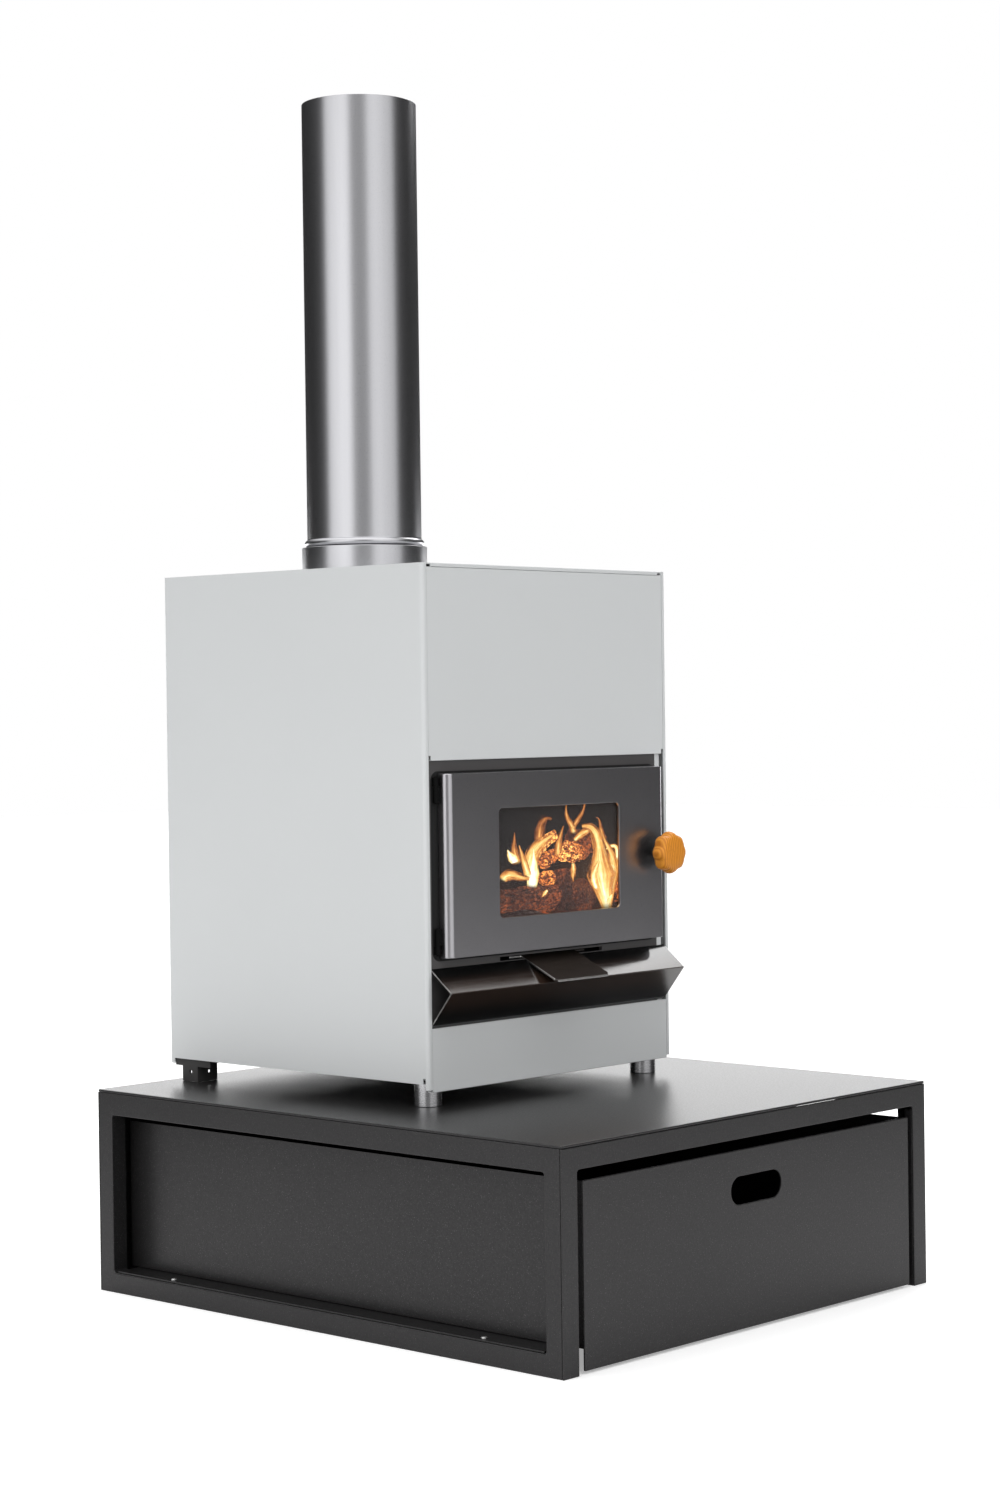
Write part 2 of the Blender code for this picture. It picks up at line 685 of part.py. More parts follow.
collar_bm = tube_bm(
    FLUE_X,
    flue_y,
    [
        (COLLAR_BORE, BOX_Z[1] + GAP),
        (COLLAR_R, BOX_Z[1] + GAP),
        (COLLAR_R, COLLAR_TOP - 0.8 * MM),
        (COLLAR_R - 0.8 * MM, COLLAR_TOP),
        (COLLAR_BORE + 0.5 * MM, COLLAR_TOP),
        (COLLAR_BORE, COLLAR_TOP - 0.5 * MM),
    ],
    64,
)
add_object("flue_collar", collar_bm, STOVE_BLACK, smooth=35)

pipe = [(FLUE_R - FLUE_WALL, 0.885), (FLUE_R, 0.885), (FLUE_R, 0.9424)]
for k in range(1, 8):
    angle = math.pi * k / 8
    pipe.append((FLUE_R + 3.4 * MM * math.sin(angle), 0.9478 - 4.9 * MM * math.cos(angle)))
pipe += [(FLUE_R, 0.9532), (FLUE_R, FLUE_TOP), (FLUE_R - FLUE_WALL, FLUE_TOP)]
add_object("flue_pipe", tube_bm(FLUE_X, flue_y, pipe, 64), RAW_STEEL, smooth=35)

# ---------------------------------------------------------------------------
# Hinge: two short pins in fixed brackets; the door's knuckles turn on them.

hinge_y = front(HINGE_Y)
for place, bracket_z, pin_z in (
    ("upper", (0.6378, 0.6478), (0.6165, 0.6495)),
    ("lower", (0.4372, 0.4472), (0.4355, 0.4685)),
):
    pin_loops = []
    for radius, z in (
        (HINGE_PIN_R - 0.4 * MM, pin_z[0]),
        (HINGE_PIN_R, pin_z[0] + 0.4 * MM),
        (HINGE_PIN_R, pin_z[1] - 0.4 * MM),
        (HINGE_PIN_R - 0.4 * MM, pin_z[1]),
    ):
        pin_loops.append([(x, y, z) for x, y in circle(HINGE_X, hinge_y, radius, 32)])
    add_object(f"hinge_pin_{place}", skin_bm(pin_loops), STOVE_BLACK, smooth=35)

    shape = arc(HINGE_X, hinge_y, KNUCKLE_R, 180, 360, 16)
    shape += [(HINGE_X + KNUCKLE_R, front(2.7 * MM)), (HINGE_X - KNUCKLE_R, front(2.7 * MM))]
    bracket = add_object(
        f"hinge_bracket_{place}", prism_bm(shape, "Z", *bracket_z), STOVE_BLACK, smooth=35
    )
    bore = prism_bm(
        circle(HINGE_X, hinge_y, HINGE_PIN_R + GAP, 32), "Z", bracket_z[0] - 0.01, bracket_z[1] + 0.01
    )
    cut(bracket, [bore])

# ---------------------------------------------------------------------------
# Door: a plate whose left and right sides are bent back to a rim, cut square above and below,
# with a window, and pocketed behind for the seal.

door_cz = (DOOR_Z[0] + DOOR_Z[1]) / 2
door_hz = (DOOR_Z[1] - DOOR_Z[0]) / 2
win_cz = (WINDOW_Z[0] + WINDOW_Z[1]) / 2
win_hz = (WINDOW_Z[1] - WINDOW_Z[0]) / 2
pocket_x = 0.172
pocket_cz = win_cz
pocket_hz = 0.0965
skin_y = DOOR_FACE + 3.0 * MM


def door_ring(y, cz, hx, hz, radius):
    """One rounded ring of the door at a depth."""
    return [(px, front(y), pz) for px, pz in rounded_rect(0.0, cz, hx, hz, radius)]


rim_corner = 1.5 * MM
door_loops = [door_ring(DOOR_RIM_BACK, door_cz, DOOR_HALF_W, door_hz, rim_corner)]
for k in range(9):
    angle = math.radians(90 * k / 8)
    inset = DOOR_EDGE_R * (1 - math.cos(angle))
    trim = 0.6 * MM * (1 - math.cos(angle))
    y = DOOR_FACE + DOOR_EDGE_R * (1 - math.sin(angle))
    ring = door_ring(y, door_cz, DOOR_HALF_W - inset, door_hz - trim, rim_corner)
    door_loops.append(ring)
lip_r = 1.0 * MM
for k in range(4):
    angle = math.radians(90 * k / 3)
    grow = lip_r * (1 - math.sin(angle))
    y = DOOR_FACE + lip_r * (1 - math.cos(angle))
    door_loops.append(door_ring(y, win_cz, WINDOW_HALF_W + grow, win_hz + grow, 6 * MM + grow))
door_loops.append(door_ring(skin_y, win_cz, WINDOW_HALF_W, win_hz, 6 * MM))
door_loops.append(door_ring(skin_y, pocket_cz, pocket_x, pocket_hz, 6 * MM))
door_loops.append(door_ring(DOOR_BACK, pocket_cz, pocket_x, pocket_hz, 6 * MM))
rim_inside = (DOOR_HALF_W - DOOR_RIM, door_hz - DOOR_RIM)
door_loops.append(door_ring(DOOR_BACK, door_cz, *rim_inside, 0.5 * MM))
door_loops.append(door_ring(DOOR_RIM_BACK, door_cz, *rim_inside, 0.5 * MM))
door = add_object("door_plate", skin_bm(door_loops, closed=True), STOVE_BLACK, smooth=35)
spindle_hole = circle(LATCH_X, LATCH_Z, SPINDLE_R + 0.1 * MM, 48)
leaf_notches = [
    box_bm((-0.2025, -0.1975), (front(DOOR_BACK), front(0.004)), (z0 - 0.5 * MM, z1 + 0.5 * MM))
    for z0, z1 in ((0.6175, 0.6375), (0.4475, 0.4675))
]
cut(door, [prism_bm(spindle_hole, "Y", front(-0.03), front(0.01)), *leaf_notches])


def flat_ring(name, outer, inner, y, finish, radii):
    """Flat frame with a rectangular hole; sizes are half width and (low, high) heights."""
    rings = []
    for (hx, z), radius, level in (
        (outer, radii[0], y[0]),
        (outer, radii[0], y[1]),
        (inner, radii[1], y[1]),
        (inner, radii[1], y[0]),
    ):
        rings.append(door_ring(level, (z[0] + z[1]) / 2, hx, (z[1] - z[0]) / 2, radius))
    return add_object(name, skin_bm(rings, closed=True), finish)


glass_bm = box_bm(
    (-0.127, 0.127),
    (front(-9.7 * MM), front(-5.7 * MM)),
    (0.4675, 0.6165),
    bevel=0.3 * MM,
    segments=1,
)
add_object("door_glass", glass_bm, ((0.05, 0.05, 0.05), 0.04, 0.0))
flat_ring(
    "glass_gasket",
    (0.1265, (0.4680, 0.6160)),
    (0.1205, (0.4740, 0.6100)),
    (-10.7 * MM, -10.0 * MM),
    ((0.12, 0.12, 0.12), 0.95, 0.0),
    (3 * MM, 5 * MM),
)
flat_ring(
    "glass_retainer",
    (0.135, (0.4605, 0.6235)),
    (0.1245, (0.4740, 0.6100)),
    (-5.4 * MM, -3.4 * MM),
    STOVE_BLACK,
    (4 * MM, 5 * MM),
)

# Rope seal: a ring with a rounded section, standing proud of the door's back.
rope_loops = []
rope_half = 4.5 * MM
rope_mid = (0.1640, 0.0885)
for k in range(12):
    angle = 2 * math.pi * (k + 0.5) / 12
    grow = rope_half * math.cos(angle)
    y = -4.0 * MM + 6.7 * MM * math.sin(angle)
    rope_loops.append(
        door_ring(y, win_cz, rope_mid[0] + grow, rope_mid[1] + grow, 8 * MM + grow)
    )
add_object(
    "door_rope_seal",
    skin_bm(rope_loops, closed=True),
    ((0.16, 0.16, 0.155), 0.95, 0.0),
    smooth=50,
)

for place, z in (("upper", (0.6175, 0.6375)), ("lower", (0.4475, 0.4675))):
    leaf = box_bm(
        (HINGE_X, -0.1775), (front(DOOR_BACK + GAP), front(DOOR_BACK + GAP + 2 * MM)), z
    )
    body = prism_bm(circle(HINGE_X, hinge_y, KNUCKLE_R, 32), "Z", *z)
    knuckle = add_object(f"door_knuckle_{place}", body, STOVE_BLACK, smooth=35)
    join(knuckle, [leaf])
    bore = prism_bm(
        circle(HINGE_X, hinge_y, HINGE_PIN_R + 0.1 * MM, 32), "Z", z[0] - 0.01, z[1] + 0.01
    )
    cut(knuckle, [bore])

# ---------------------------------------------------------------------------
# Latch: turned knob, spindle through the door, and a bar that catches behind the plate.

spindle_bm = turned_y_bm(
    LATCH_X,
    LATCH_Z,
    [
        (SPINDLE_R - 0.5 * MM, front(-0.0355)),
        (SPINDLE_R, front(-0.0350)),
        (SPINDLE_R, front(0.0140)),
        (6.4 * MM, front(0.0140)),
        (6.4 * MM, front(0.0155)),
        (5.6 * MM, front(0.0162)),
    ],
    48,
)
add_object("latch_spindle", spindle_bm, STOVE_BLACK, smooth=35)

bar = rounded_rect(LATCH_X, LATCH_Z, 6.0 * MM, 13.0 * MM, 3.0 * MM)
latch_bar = add_object(
    "latch_bar", prism_bm(bar, "Y", front(0.0095), front(0.0135)), STOVE_BLACK
)
bar_bore = circle(LATCH_X, LATCH_Z, SPINDLE_R + 0.1 * MM, 48)
cut(latch_bar, [prism_bm(bar_bore, "Y", front(0.0), front(0.03))])


def knob_ring(y, radius, depth):
    """Ring of the knob: a circle with eight shallow finger hollows."""
    points = []
    for k in range(96):
        angle = 2 * math.pi * k / 96
        lobe = 0.5 + 0.5 * math.cos(8 * angle)
        r = radius - depth * (1 - lobe ** 0.7)
        points.append((LATCH_X + r * math.cos(angle), front(y), LATCH_Z + r * math.sin(angle)))
    return points


def plain_ring(y, radius):
    """Plain circle with the same point count as the knob's rings."""
    return [(x, front(y), z) for x, z in circle(LATCH_X, LATCH_Z, radius, 96)]


knob_depth = KNOB_FACE - KNOB_REAR
knob_loops = [plain_ring(KNOB_REAR - 12 * MM, 4.0 * MM)]
knob_loops.append(plain_ring(KNOB_REAR - 12 * MM, SPINDLE_R + GAP))
knob_loops.append(plain_ring(KNOB_REAR, SPINDLE_R + GAP))
knob_loops.append(plain_ring(KNOB_REAR, 12.0 * MM))
for share, scale, hollow in (
    (0.05, 0.78, 0.6),
    (0.16, 0.90, 1.6),
    (0.30, 0.97, 2.4),
    (0.48, 1.00, 2.7),
    (0.66, 0.985, 2.6),
    (0.82, 0.93, 2.1),
    (0.93, 0.84, 1.3),
    (0.985, 0.70, 0.5),
    (1.00, 0.50, 0.0),
    (1.00, 0.20, 0.0),
):
    knob_loops.append(knob_ring(KNOB_REAR + share * knob_depth, KNOB_R * scale, hollow * MM))
add_object("door_knob", skin_bm(knob_loops), ((0.62, 0.30, 0.09), 0.4, 0.0), smooth=50)
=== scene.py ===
"""A wood burning stove with a glazed door and flue pipe, on a steel plinth with a wood drawer."""

import math

import bpy
import numpy as np
from mathutils import Matrix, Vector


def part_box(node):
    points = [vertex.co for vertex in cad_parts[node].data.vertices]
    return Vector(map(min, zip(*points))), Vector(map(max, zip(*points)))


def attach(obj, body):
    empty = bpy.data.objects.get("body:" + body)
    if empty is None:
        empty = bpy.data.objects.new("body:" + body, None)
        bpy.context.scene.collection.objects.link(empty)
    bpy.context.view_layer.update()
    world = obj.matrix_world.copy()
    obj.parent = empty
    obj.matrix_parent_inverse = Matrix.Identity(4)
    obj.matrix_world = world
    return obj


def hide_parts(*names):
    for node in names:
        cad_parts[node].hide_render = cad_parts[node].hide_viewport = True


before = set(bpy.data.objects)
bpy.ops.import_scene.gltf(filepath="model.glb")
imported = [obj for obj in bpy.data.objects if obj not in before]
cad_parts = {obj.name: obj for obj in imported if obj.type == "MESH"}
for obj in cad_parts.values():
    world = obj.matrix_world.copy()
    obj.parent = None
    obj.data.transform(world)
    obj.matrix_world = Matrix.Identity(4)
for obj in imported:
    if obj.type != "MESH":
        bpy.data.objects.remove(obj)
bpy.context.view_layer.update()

# ---------------------------------------------------------------------------
# Camera: a 70 mm lens about three and a half metres away, nearly level with the
# stove's middle and 47 degrees round to its left.

yaw, pitch, roll = math.radians(-47.2945), math.radians(-0.8166), math.radians(-0.7498)
ahead = np.array((-math.sin(yaw) * math.cos(pitch), math.cos(yaw) * math.cos(pitch), math.sin(pitch)))
level = np.array((math.cos(yaw), math.sin(yaw), 0.0))
upright = np.cross(level, ahead)
camera_x = level * math.cos(roll) + upright * math.sin(roll)
camera_y = upright * math.cos(roll) - level * math.sin(roll)
lens = bpy.data.cameras.new("camera")
lens.sensor_fit = "VERTICAL"
lens.sensor_height = 36.0
lens.lens = 69.62
camera = bpy.data.objects.new("camera", lens)
bpy.context.scene.collection.objects.link(camera)
place = np.eye(4)
place[:3, 0], place[:3, 1], place[:3, 2] = camera_x, camera_y, -ahead
place[:3, 3] = (-2.687, -2.4707, 0.7289)
camera.matrix_world = Matrix(place.tolist())
bpy.context.scene.camera = camera

# ---------------------------------------------------------------------------
# Studio: a white floor in front of a white backdrop, a large soft light on each
# side of the camera, a high one over the far right, a low bright strip behind, and
# a bright ceiling with a dark patch, between dark walls.


class Wire:
    """A node's output. An operator on wires and numbers adds the Math node for it."""

    def __init__(self, finish, socket):
        self.finish, self.socket = finish, socket

    def math(self, operation, first, second=0.0):
        return self.finish.node("Math", {"operation": operation}, Value=first, Value_001=second)

    def __add__(self, other):
        return self.math("ADD", self, other)

    def __sub__(self, other):
        return self.math("SUBTRACT", self, other)

    def __rsub__(self, other):
        return self.math("SUBTRACT", other, self)

    def __mul__(self, other):
        return self.math("MULTIPLY", self, other)

    def abs(self):
        return self.math("ABSOLUTE", self)

    def step(self, low, high):
        """Smooth step from 0 at low to 1 at high."""
        return self.finish.node(
            "MapRange", {"interpolation_type": "SMOOTHSTEP"}, Value=self, From_Min=low, From_Max=high
        )


class Finish:
    """A procedural material, or the world's light, built from numbers and wires."""

    def __init__(self, name, owner=None, **constants):
        self.owner = owner or bpy.data.materials.new(name)
        self.owner.use_nodes = True
        self.tree = self.owner.node_tree
        self.shader = self.tree.nodes.get("Principled BSDF") or self.tree.nodes.get("Background")
        self.set(**constants)

    def feed(self, node, values):
        """Give each named socket of a node its number, colour or wire."""
        for key, value in values.items():
            socket = next(s for s in node.inputs if key in (s.identifier, s.name.replace(" ", "_")))
            if isinstance(value, Wire):
                self.tree.links.new(value.socket, socket)
            else:
                size = len(socket.default_value) if hasattr(socket.default_value, "__len__") else 0
                socket.default_value = (*value, 1.0) if size == 4 and len(value) == 3 else value

    def set(self, **values):
        self.feed(self.shader, values)

    def node(self, kind, settings=None, out=None, **values):
        """Add one node: its settings first, then its sockets. The result is its output."""
        node = self.tree.nodes.new("ShaderNode" + kind)
        settings = dict(settings or {})
        stops = settings.pop("stops", None)
        for key, value in settings.items():
            setattr(node, key, value)
        if stops:
            ends = node.color_ramp.elements
            for mark, (at, colour) in zip((ends[0], ends[1]), (stops[0], stops[-1])):
                mark.position, mark.color = at, (*colour, 1.0)
            for at, colour in stops[1:-1]:
                ends.new(at).color = (*colour, 1.0)
        self.feed(node, values)
        return Wire(self, next(s for s in node.outputs if out in (None, s.identifier)))

    def mix(self, share, first, second):
        """Two colours mixed by a share."""
        return self.node(
            "Mix",
            {"data_type": "RGBA"},
            "Result_Color",
            Factor_Float=share,
            A_Color=first,
            B_Color=second,
        )

    def noise(self, scale, detail=2.0, roughness=0.5, where=None):
        """Noise between 0 and 1 over the piece's own place in metres."""
        where = where or self.place()
        return self.node(
            "TexNoise", None, None, Vector=where, Scale=scale, Detail=detail, Roughness=roughness
        )

    def place(self):
        """Where a point is, in metres."""
        return self.node("TexCoord", None, "Object")

    def vector(self, operation, first, second=(0.0, 0.0, 0.0), out=None):
        """Sum, product or other measure of two wires or triples."""
        return self.node("VectorMath", {"operation": operation}, out, Vector=first, Vector_001=second)

    def bump(self, height, distance, strength=1.0):
        """Surface normal raised by a height between 0 and 1, times a distance in metres."""
        return self.node("Bump", None, None, Height=height, Distance=distance, Strength=strength)


def softbox(name, direction, elevation, distance, size, energy, aim=0.75):
    """Area light that faces the stove from a compass direction and height angle."""
    data = bpy.data.lights.new(name, "AREA")
    data.shape, data.size, data.size_y, data.energy = "RECTANGLE", size[0], size[1], energy
    light = bpy.data.objects.new(name, data)
    bpy.context.scene.collection.objects.link(light)
    rise, turn = math.radians(elevation), math.radians(direction)
    out = np.array((math.sin(turn) * math.cos(rise), math.cos(turn) * math.cos(rise), math.sin(rise)))
    side = np.cross((0.0, 0.0, 1.0), out)
    side /= np.linalg.norm(side)
    pose = np.eye(4)
    pose[:3, 0], pose[:3, 1], pose[:3, 2] = side, np.cross(out, side), out
    pose[:3, 3] = out * distance + (0.0, 0.0, aim)
    light.matrix_world = Matrix(pose.tolist())
    light.visible_camera = False


softbox("light_left", 275.0, 8.0, 3.4, (3.3, 2.9), 38.0)
softbox("light_right", 182.0, 5.0, 3.4, (3.8, 4.8), 53.0)
softbox("light_high", 77.0, 42.0, 3.2, (1.2, 1.6), 27.0)
softbox("light_low", 47.3, 0.0, 2.2, (4.2, 0.56), 24.0, 0.72)

world = bpy.data.worlds.new("studio")
bpy.context.scene.world = world
sky = Finish("studio", owner=world)
heading = sky.node("TexCoord", None, "Generated")
toward_lens = sky.vector("DOT_PRODUCT", heading, (-0.735, -0.678, 0.0), "Value")
behind_lens = toward_lens.step(0.45, 0.95)
upward = sky.node("SeparateXYZ", None, "Z", Vector=heading)
ceiling = upward.step(0.25, 0.9)
seen = sky.node("LightPath", None, "Is Camera Ray")
flag = sky.vector("DOT_PRODUCT", heading, (0.75, -0.14, 0.646), "Value").step(0.95, 0.86)
light = behind_lens * 0.38 + ceiling * flag * 1.74 + 0.02
shade = sky.node("CombineColor", None, None, Red=light, Green=light, Blue=light)
sky.set(Color=sky.mix(seen, shade, (1.0, 1.0, 1.0)), Strength=1.0)

bpy.context.scene.view_settings.view_transform = "Standard"

floor_size = 14.0
corners = np.array([(-1, -1, 0), (1, -1, 0), (1, 1, 0), (-1, 1, 0)]) * floor_size
floor_mesh = bpy.data.meshes.new("floor")
floor_mesh.from_pydata((corners - (0.0, 0.0, 0.0002)).tolist(), [], [(0, 1, 2, 3)])
floor = bpy.data.objects.new("floor", floor_mesh)
bpy.context.scene.collection.objects.link(floor)
white = Finish("studio_floor", Roughness=0.9, Specular_IOR_Level=0.1, Emission_Strength=0.35)
patch = white.noise(1.3, 2.0)
away = white.vector("LENGTH", white.place(), out="Value")
direct = white.node("LightPath", None, "Is Camera Ray")
paper = white.mix(patch, (0.80, 0.80, 0.80), (0.83, 0.83, 0.83))
spill = white.mix(away.step(1.2, 3.5), paper, (0.10, 0.10, 0.10))
white.set(
    Base_Color=white.mix(direct, spill, paper),
    Emission_Color=white.mix(direct, (0.0, 0.0, 0.0), (1.0, 1.0, 1.0)),
)
floor_mesh.materials.append(white.owner)

# ---------------------------------------------------------------------------
# Plinth deck: one steel sheet with its rim folded down, under a charcoal coat
# whose hammered grain shows as fine dimples and light flecks.

MM = 0.001


def unit(vectors):
    """Vectors scaled to length one."""
    return vectors / np.linalg.norm(vectors, axis=-1, keepdims=True)


def eased(corners, radius, steps=6, inset=0.0):
    """Closed outline with rounded corners. Each corner gives way to an arc tangent to its two
    sides: the arc's centre lies on the bisector, at the radius over the sine of half the angle.
    An inset moves every side inwards first, and tightens outer arcs by the same distance."""
    corners = np.asarray(corners, float)
    back, on = unit(np.roll(corners, 1, 0) - corners), unit(np.roll(corners, -1, 0) - corners)
    cross = on[:, 0] * back[:, 1] - on[:, 1] * back[:, 0]
    after = np.roll(corners, -1, 0)
    area = (corners[:, 0] * after[:, 1] - after[:, 0] * corners[:, 1]).sum()
    outer = np.sign(cross * area)[:, None]
    half = 0.5 * np.arccos(np.clip((back * on).sum(1), -1, 1))[:, None]
    middle = unit(back + on)
    moved = corners + middle * outer * inset / np.sin(half)
    radius = np.maximum(np.broadcast_to(radius, len(corners))[:, None] - outer * inset, 0.02 * MM)
    centre = moved + middle * radius / np.sin(half)
    start = moved + back * radius / np.tan(half) - centre
    end = moved + on * radius / np.tan(half) - centre
    sweep = np.arctan2(
        start[:, 0] * end[:, 1] - start[:, 1] * end[:, 0], (start * end).sum(1)
    )[:, None] * np.linspace(0.0, 1.0, steps + 1)
    cos, sin = np.cos(sweep), np.sin(sweep)
    x = start[:, :1] * cos - start[:, 1:] * sin + centre[:, :1]
    y = start[:, :1] * sin + start[:, 1:] * cos + centre[:, 1:]
    return np.stack((x, y), -1).reshape(-1, 2)


def skin(rings, closed=False, wrap=True):
    """Faces between successive rings of an array (rings, points, 3). A closed skin joins its last
    ring to its first; an open one is capped at both ends. Without wrap the rings stay open."""
    count, size = rings.shape[:2]
    ring = np.arange(count if closed else count - 1)[:, None] * size
    following = (ring + size) % (count * size)
    at = np.arange(size if wrap else size - 1)[None, :]
    beside = (at + 1) % size
    quads = np.stack((ring + at, ring + beside, following + beside, following + at), -1)
    faces = quads.reshape(-1, 4).tolist()
    if wrap and not closed:
        faces += [list(range(size))[::-1], list(range((count - 1) * size, count * size))]
    return rings.reshape(-1, 3), faces


def piece(name, shape, finish, body, replaces=(), flat=True, solid=True):
    """Mesh object from points and faces, turned outwards, given its finish and put on its body.
    Flat faces keep their own shading and only the narrow roundings between them look curved."""
    points, faces = shape
    if solid:
        corner = [np.array([points[f[k % len(f)]] for f in faces if len(f) == 4]) for k in range(4)]
        volume = sum(
            np.einsum("ij,ij->", a, np.cross(b, c))
            for a, b, c in ((corner[0], corner[1], corner[2]), (corner[0], corner[2], corner[3]))
        )
        for cap in (f for f in faces if len(f) != 4):
            a, b = points[cap], points[cap[1:] + cap[:1]]
            volume += np.dot(points[cap].mean(0), np.cross(a, b).sum(0))
        if volume < 0:
            faces = [f[::-1] for f in faces]
    mesh = bpy.data.meshes.new(name)
    mesh.from_pydata(points.tolist(), [], faces)
    mesh.polygons.foreach_set("use_smooth", np.ones(len(faces), bool))
    mesh.materials.append(finish.owner)
    made = bpy.data.objects.new(name, mesh)
    bpy.context.scene.collection.objects.link(made)
    if flat:
        made.modifiers.new("even shading", "WEIGHTED_NORMAL").weight = 90
    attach(made, body)
    if replaces:
        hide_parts(*replaces)
    return made


def pressed(corners, radius, axis, low, high, rim, steps=6):
    """An outline carried along an axis from low to high, with both rims rounded: near an end the
    outline draws in by the rim's radius less its sine while the level follows its cosine."""
    turn = np.linspace(0.0, math.pi / 2, 5)
    inset = rim * (1.0 - np.sin(turn))
    level = rim * (1.0 - np.cos(turn))
    levels = np.concatenate((low + level, high - level[::-1]))
    rings = [
        np.insert(eased(corners, radius, steps, d), "XYZ".index(axis), at, axis=1)
        for d, at in zip(np.concatenate((inset, inset[::-1])), levels)
    ]
    return skin(np.array(rings))


def coat(finish, *names):
    """Give CAD nodes a finish."""
    for name in names:
        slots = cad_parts[name].data.materials
        slots.clear()
        slots.append(finish.owner)


hammered = Finish("charcoal_hammered_coat", Metallic=0.75)
dimple = hammered.noise(420.0, 2.0, 0.55)
fine = hammered.noise(1500.0, 1.0)
fleck = hammered.noise(900.0, 1.0).step(0.66, 0.76)
cloud = hammered.noise(6.0, 3.0)
base = hammered.mix(cloud, (0.044, 0.043, 0.044), (0.053, 0.0515, 0.0525))
base = hammered.mix(dimple.step(0.35, 0.7) * 0.5, base, (0.036, 0.0355, 0.0365))
hammered.set(
    Base_Color=hammered.mix(fleck * 0.4, base, (0.26, 0.25, 0.25)),
    Roughness=dimple * 0.14 + 0.27,
    Normal=hammered.bump(dimple + fine * 0.25, 0.00022, 0.55),
)

low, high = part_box("plinth_top")
deck_outline = [(low.x, low.y), (high.x, low.y), (high.x, high.y), (low.x, high.y)]
piece(
    "plinth_deck",
    pressed(deck_outline, 2.0 * MM, "Z", low.z, high.z, 1.2 * MM),
    hammered,
    "stove",
    ["plinth_top"],
)

# ---------------------------------------------------------------------------
# Plinth sides: each one is a sheet with a large window, whose outer edges and
# window edges are folded inwards all round.

for side, sign in (("left", -1.0), ("right", 1.0)):
    low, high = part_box(f"plinth_{side}_side")
    middle = ((low.y + high.y) / 2, (low.z + high.z) / 2)
    reach = ((high.y - low.y) / 2, (high.z - low.z) / 2)
    window_middle, window_reach = (0.0, 0.12425), (0.365, 0.09925)
    outer, inner = sign * 344.5, sign * 322.5
    rings = []
    for x, centre, half, grow, radius in (
        (outer - sign * 0.35, middle, reach, -0.1, 0.6),
        (outer - sign * 1.0, middle, reach, 0.0, 1.0),
        (inner, middle, reach, 0.0, 1.0),
        (inner, middle, reach, -2.0, 0.6),
        (outer - sign * 2.0, middle, reach, -2.0, 0.6),
        (outer - sign * 2.0, window_middle, window_reach, 2.0, 6.0),
        (inner, window_middle, window_reach, 2.0, 6.0),
        (inner, window_middle, window_reach, 0.0, 4.0),
        (outer - sign * 1.6, window_middle, window_reach, 0.0, 4.0),
        (outer - sign * 0.9, window_middle, window_reach, 0.2, 4.2),
        (outer - sign * 0.35, window_middle, window_reach, 0.65, 4.6),
        (outer, window_middle, window_reach, 1.5, 5.5),
        (outer, middle, reach, -0.5, 0.5),
    ):
        box = np.array([(-1, -1), (1, -1), (1, 1), (-1, 1)]) * (np.array(half) + grow * MM) + centre
        rings.append(np.insert(eased(box, radius * MM, 5), 0, x * MM, axis=1))
    piece(
        f"plinth_side_{side}",
        skin(np.array(rings), closed=True),
        hammered,
        "stove",
        [f"plinth_{side}_side"],
    )

# ---------------------------------------------------------------------------
# Plinth front: an upside-down U of sheet steel without a bottom rail, folded back
# along its two posts.

post, rail, half_width, frame_top = 318.5 * MM, 225.5 * MM, 344.5 * MM, 251.2 * MM
u_outline = [
    (-half_width, 0.0),
    (-half_width, frame_top),
    (half_width, frame_top),
    (half_width, 0.0),
    (post, 0.0),
    (post, rail),
    (-post, rail),
    (-post, 0.0),
]
u_radius = np.array((0.3, 0.6, 0.6, 0.3, 0.3, 4.0, 4.0, 0.3)) * MM
piece(
    "plinth_front_u",
    pressed(u_outline, u_radius, "Y", -391.0 * MM, -388.5 * MM, 1.1 * MM),
    hammered,
    "stove",
    ["plinth_front_frame"],
)
for side, sign in (("left", -1.0), ("right", 1.0)):
    fold_corners = ((318.52, -388.4), (320.5, -388.4), (320.5, -379.0), (318.52, -379.0))
    strip = [(sign * a * MM, b * MM) for a, b in fold_corners]
    piece(
        f"plinth_post_fold_{side}",
        pressed(strip, 0.4 * MM, "Z", 0.0, 220.5 * MM, 0.3 * MM, 3),
        hammered,
        "stove",
    )
coat(hammered, "plinth_back_panel", "drawer_runner_left", "drawer_runner_right")

# ---------------------------------------------------------------------------
# Wood drawer: a flush sheet front with an obround finger slot, and a folded
# sheet box behind it that slides on two flat runners.

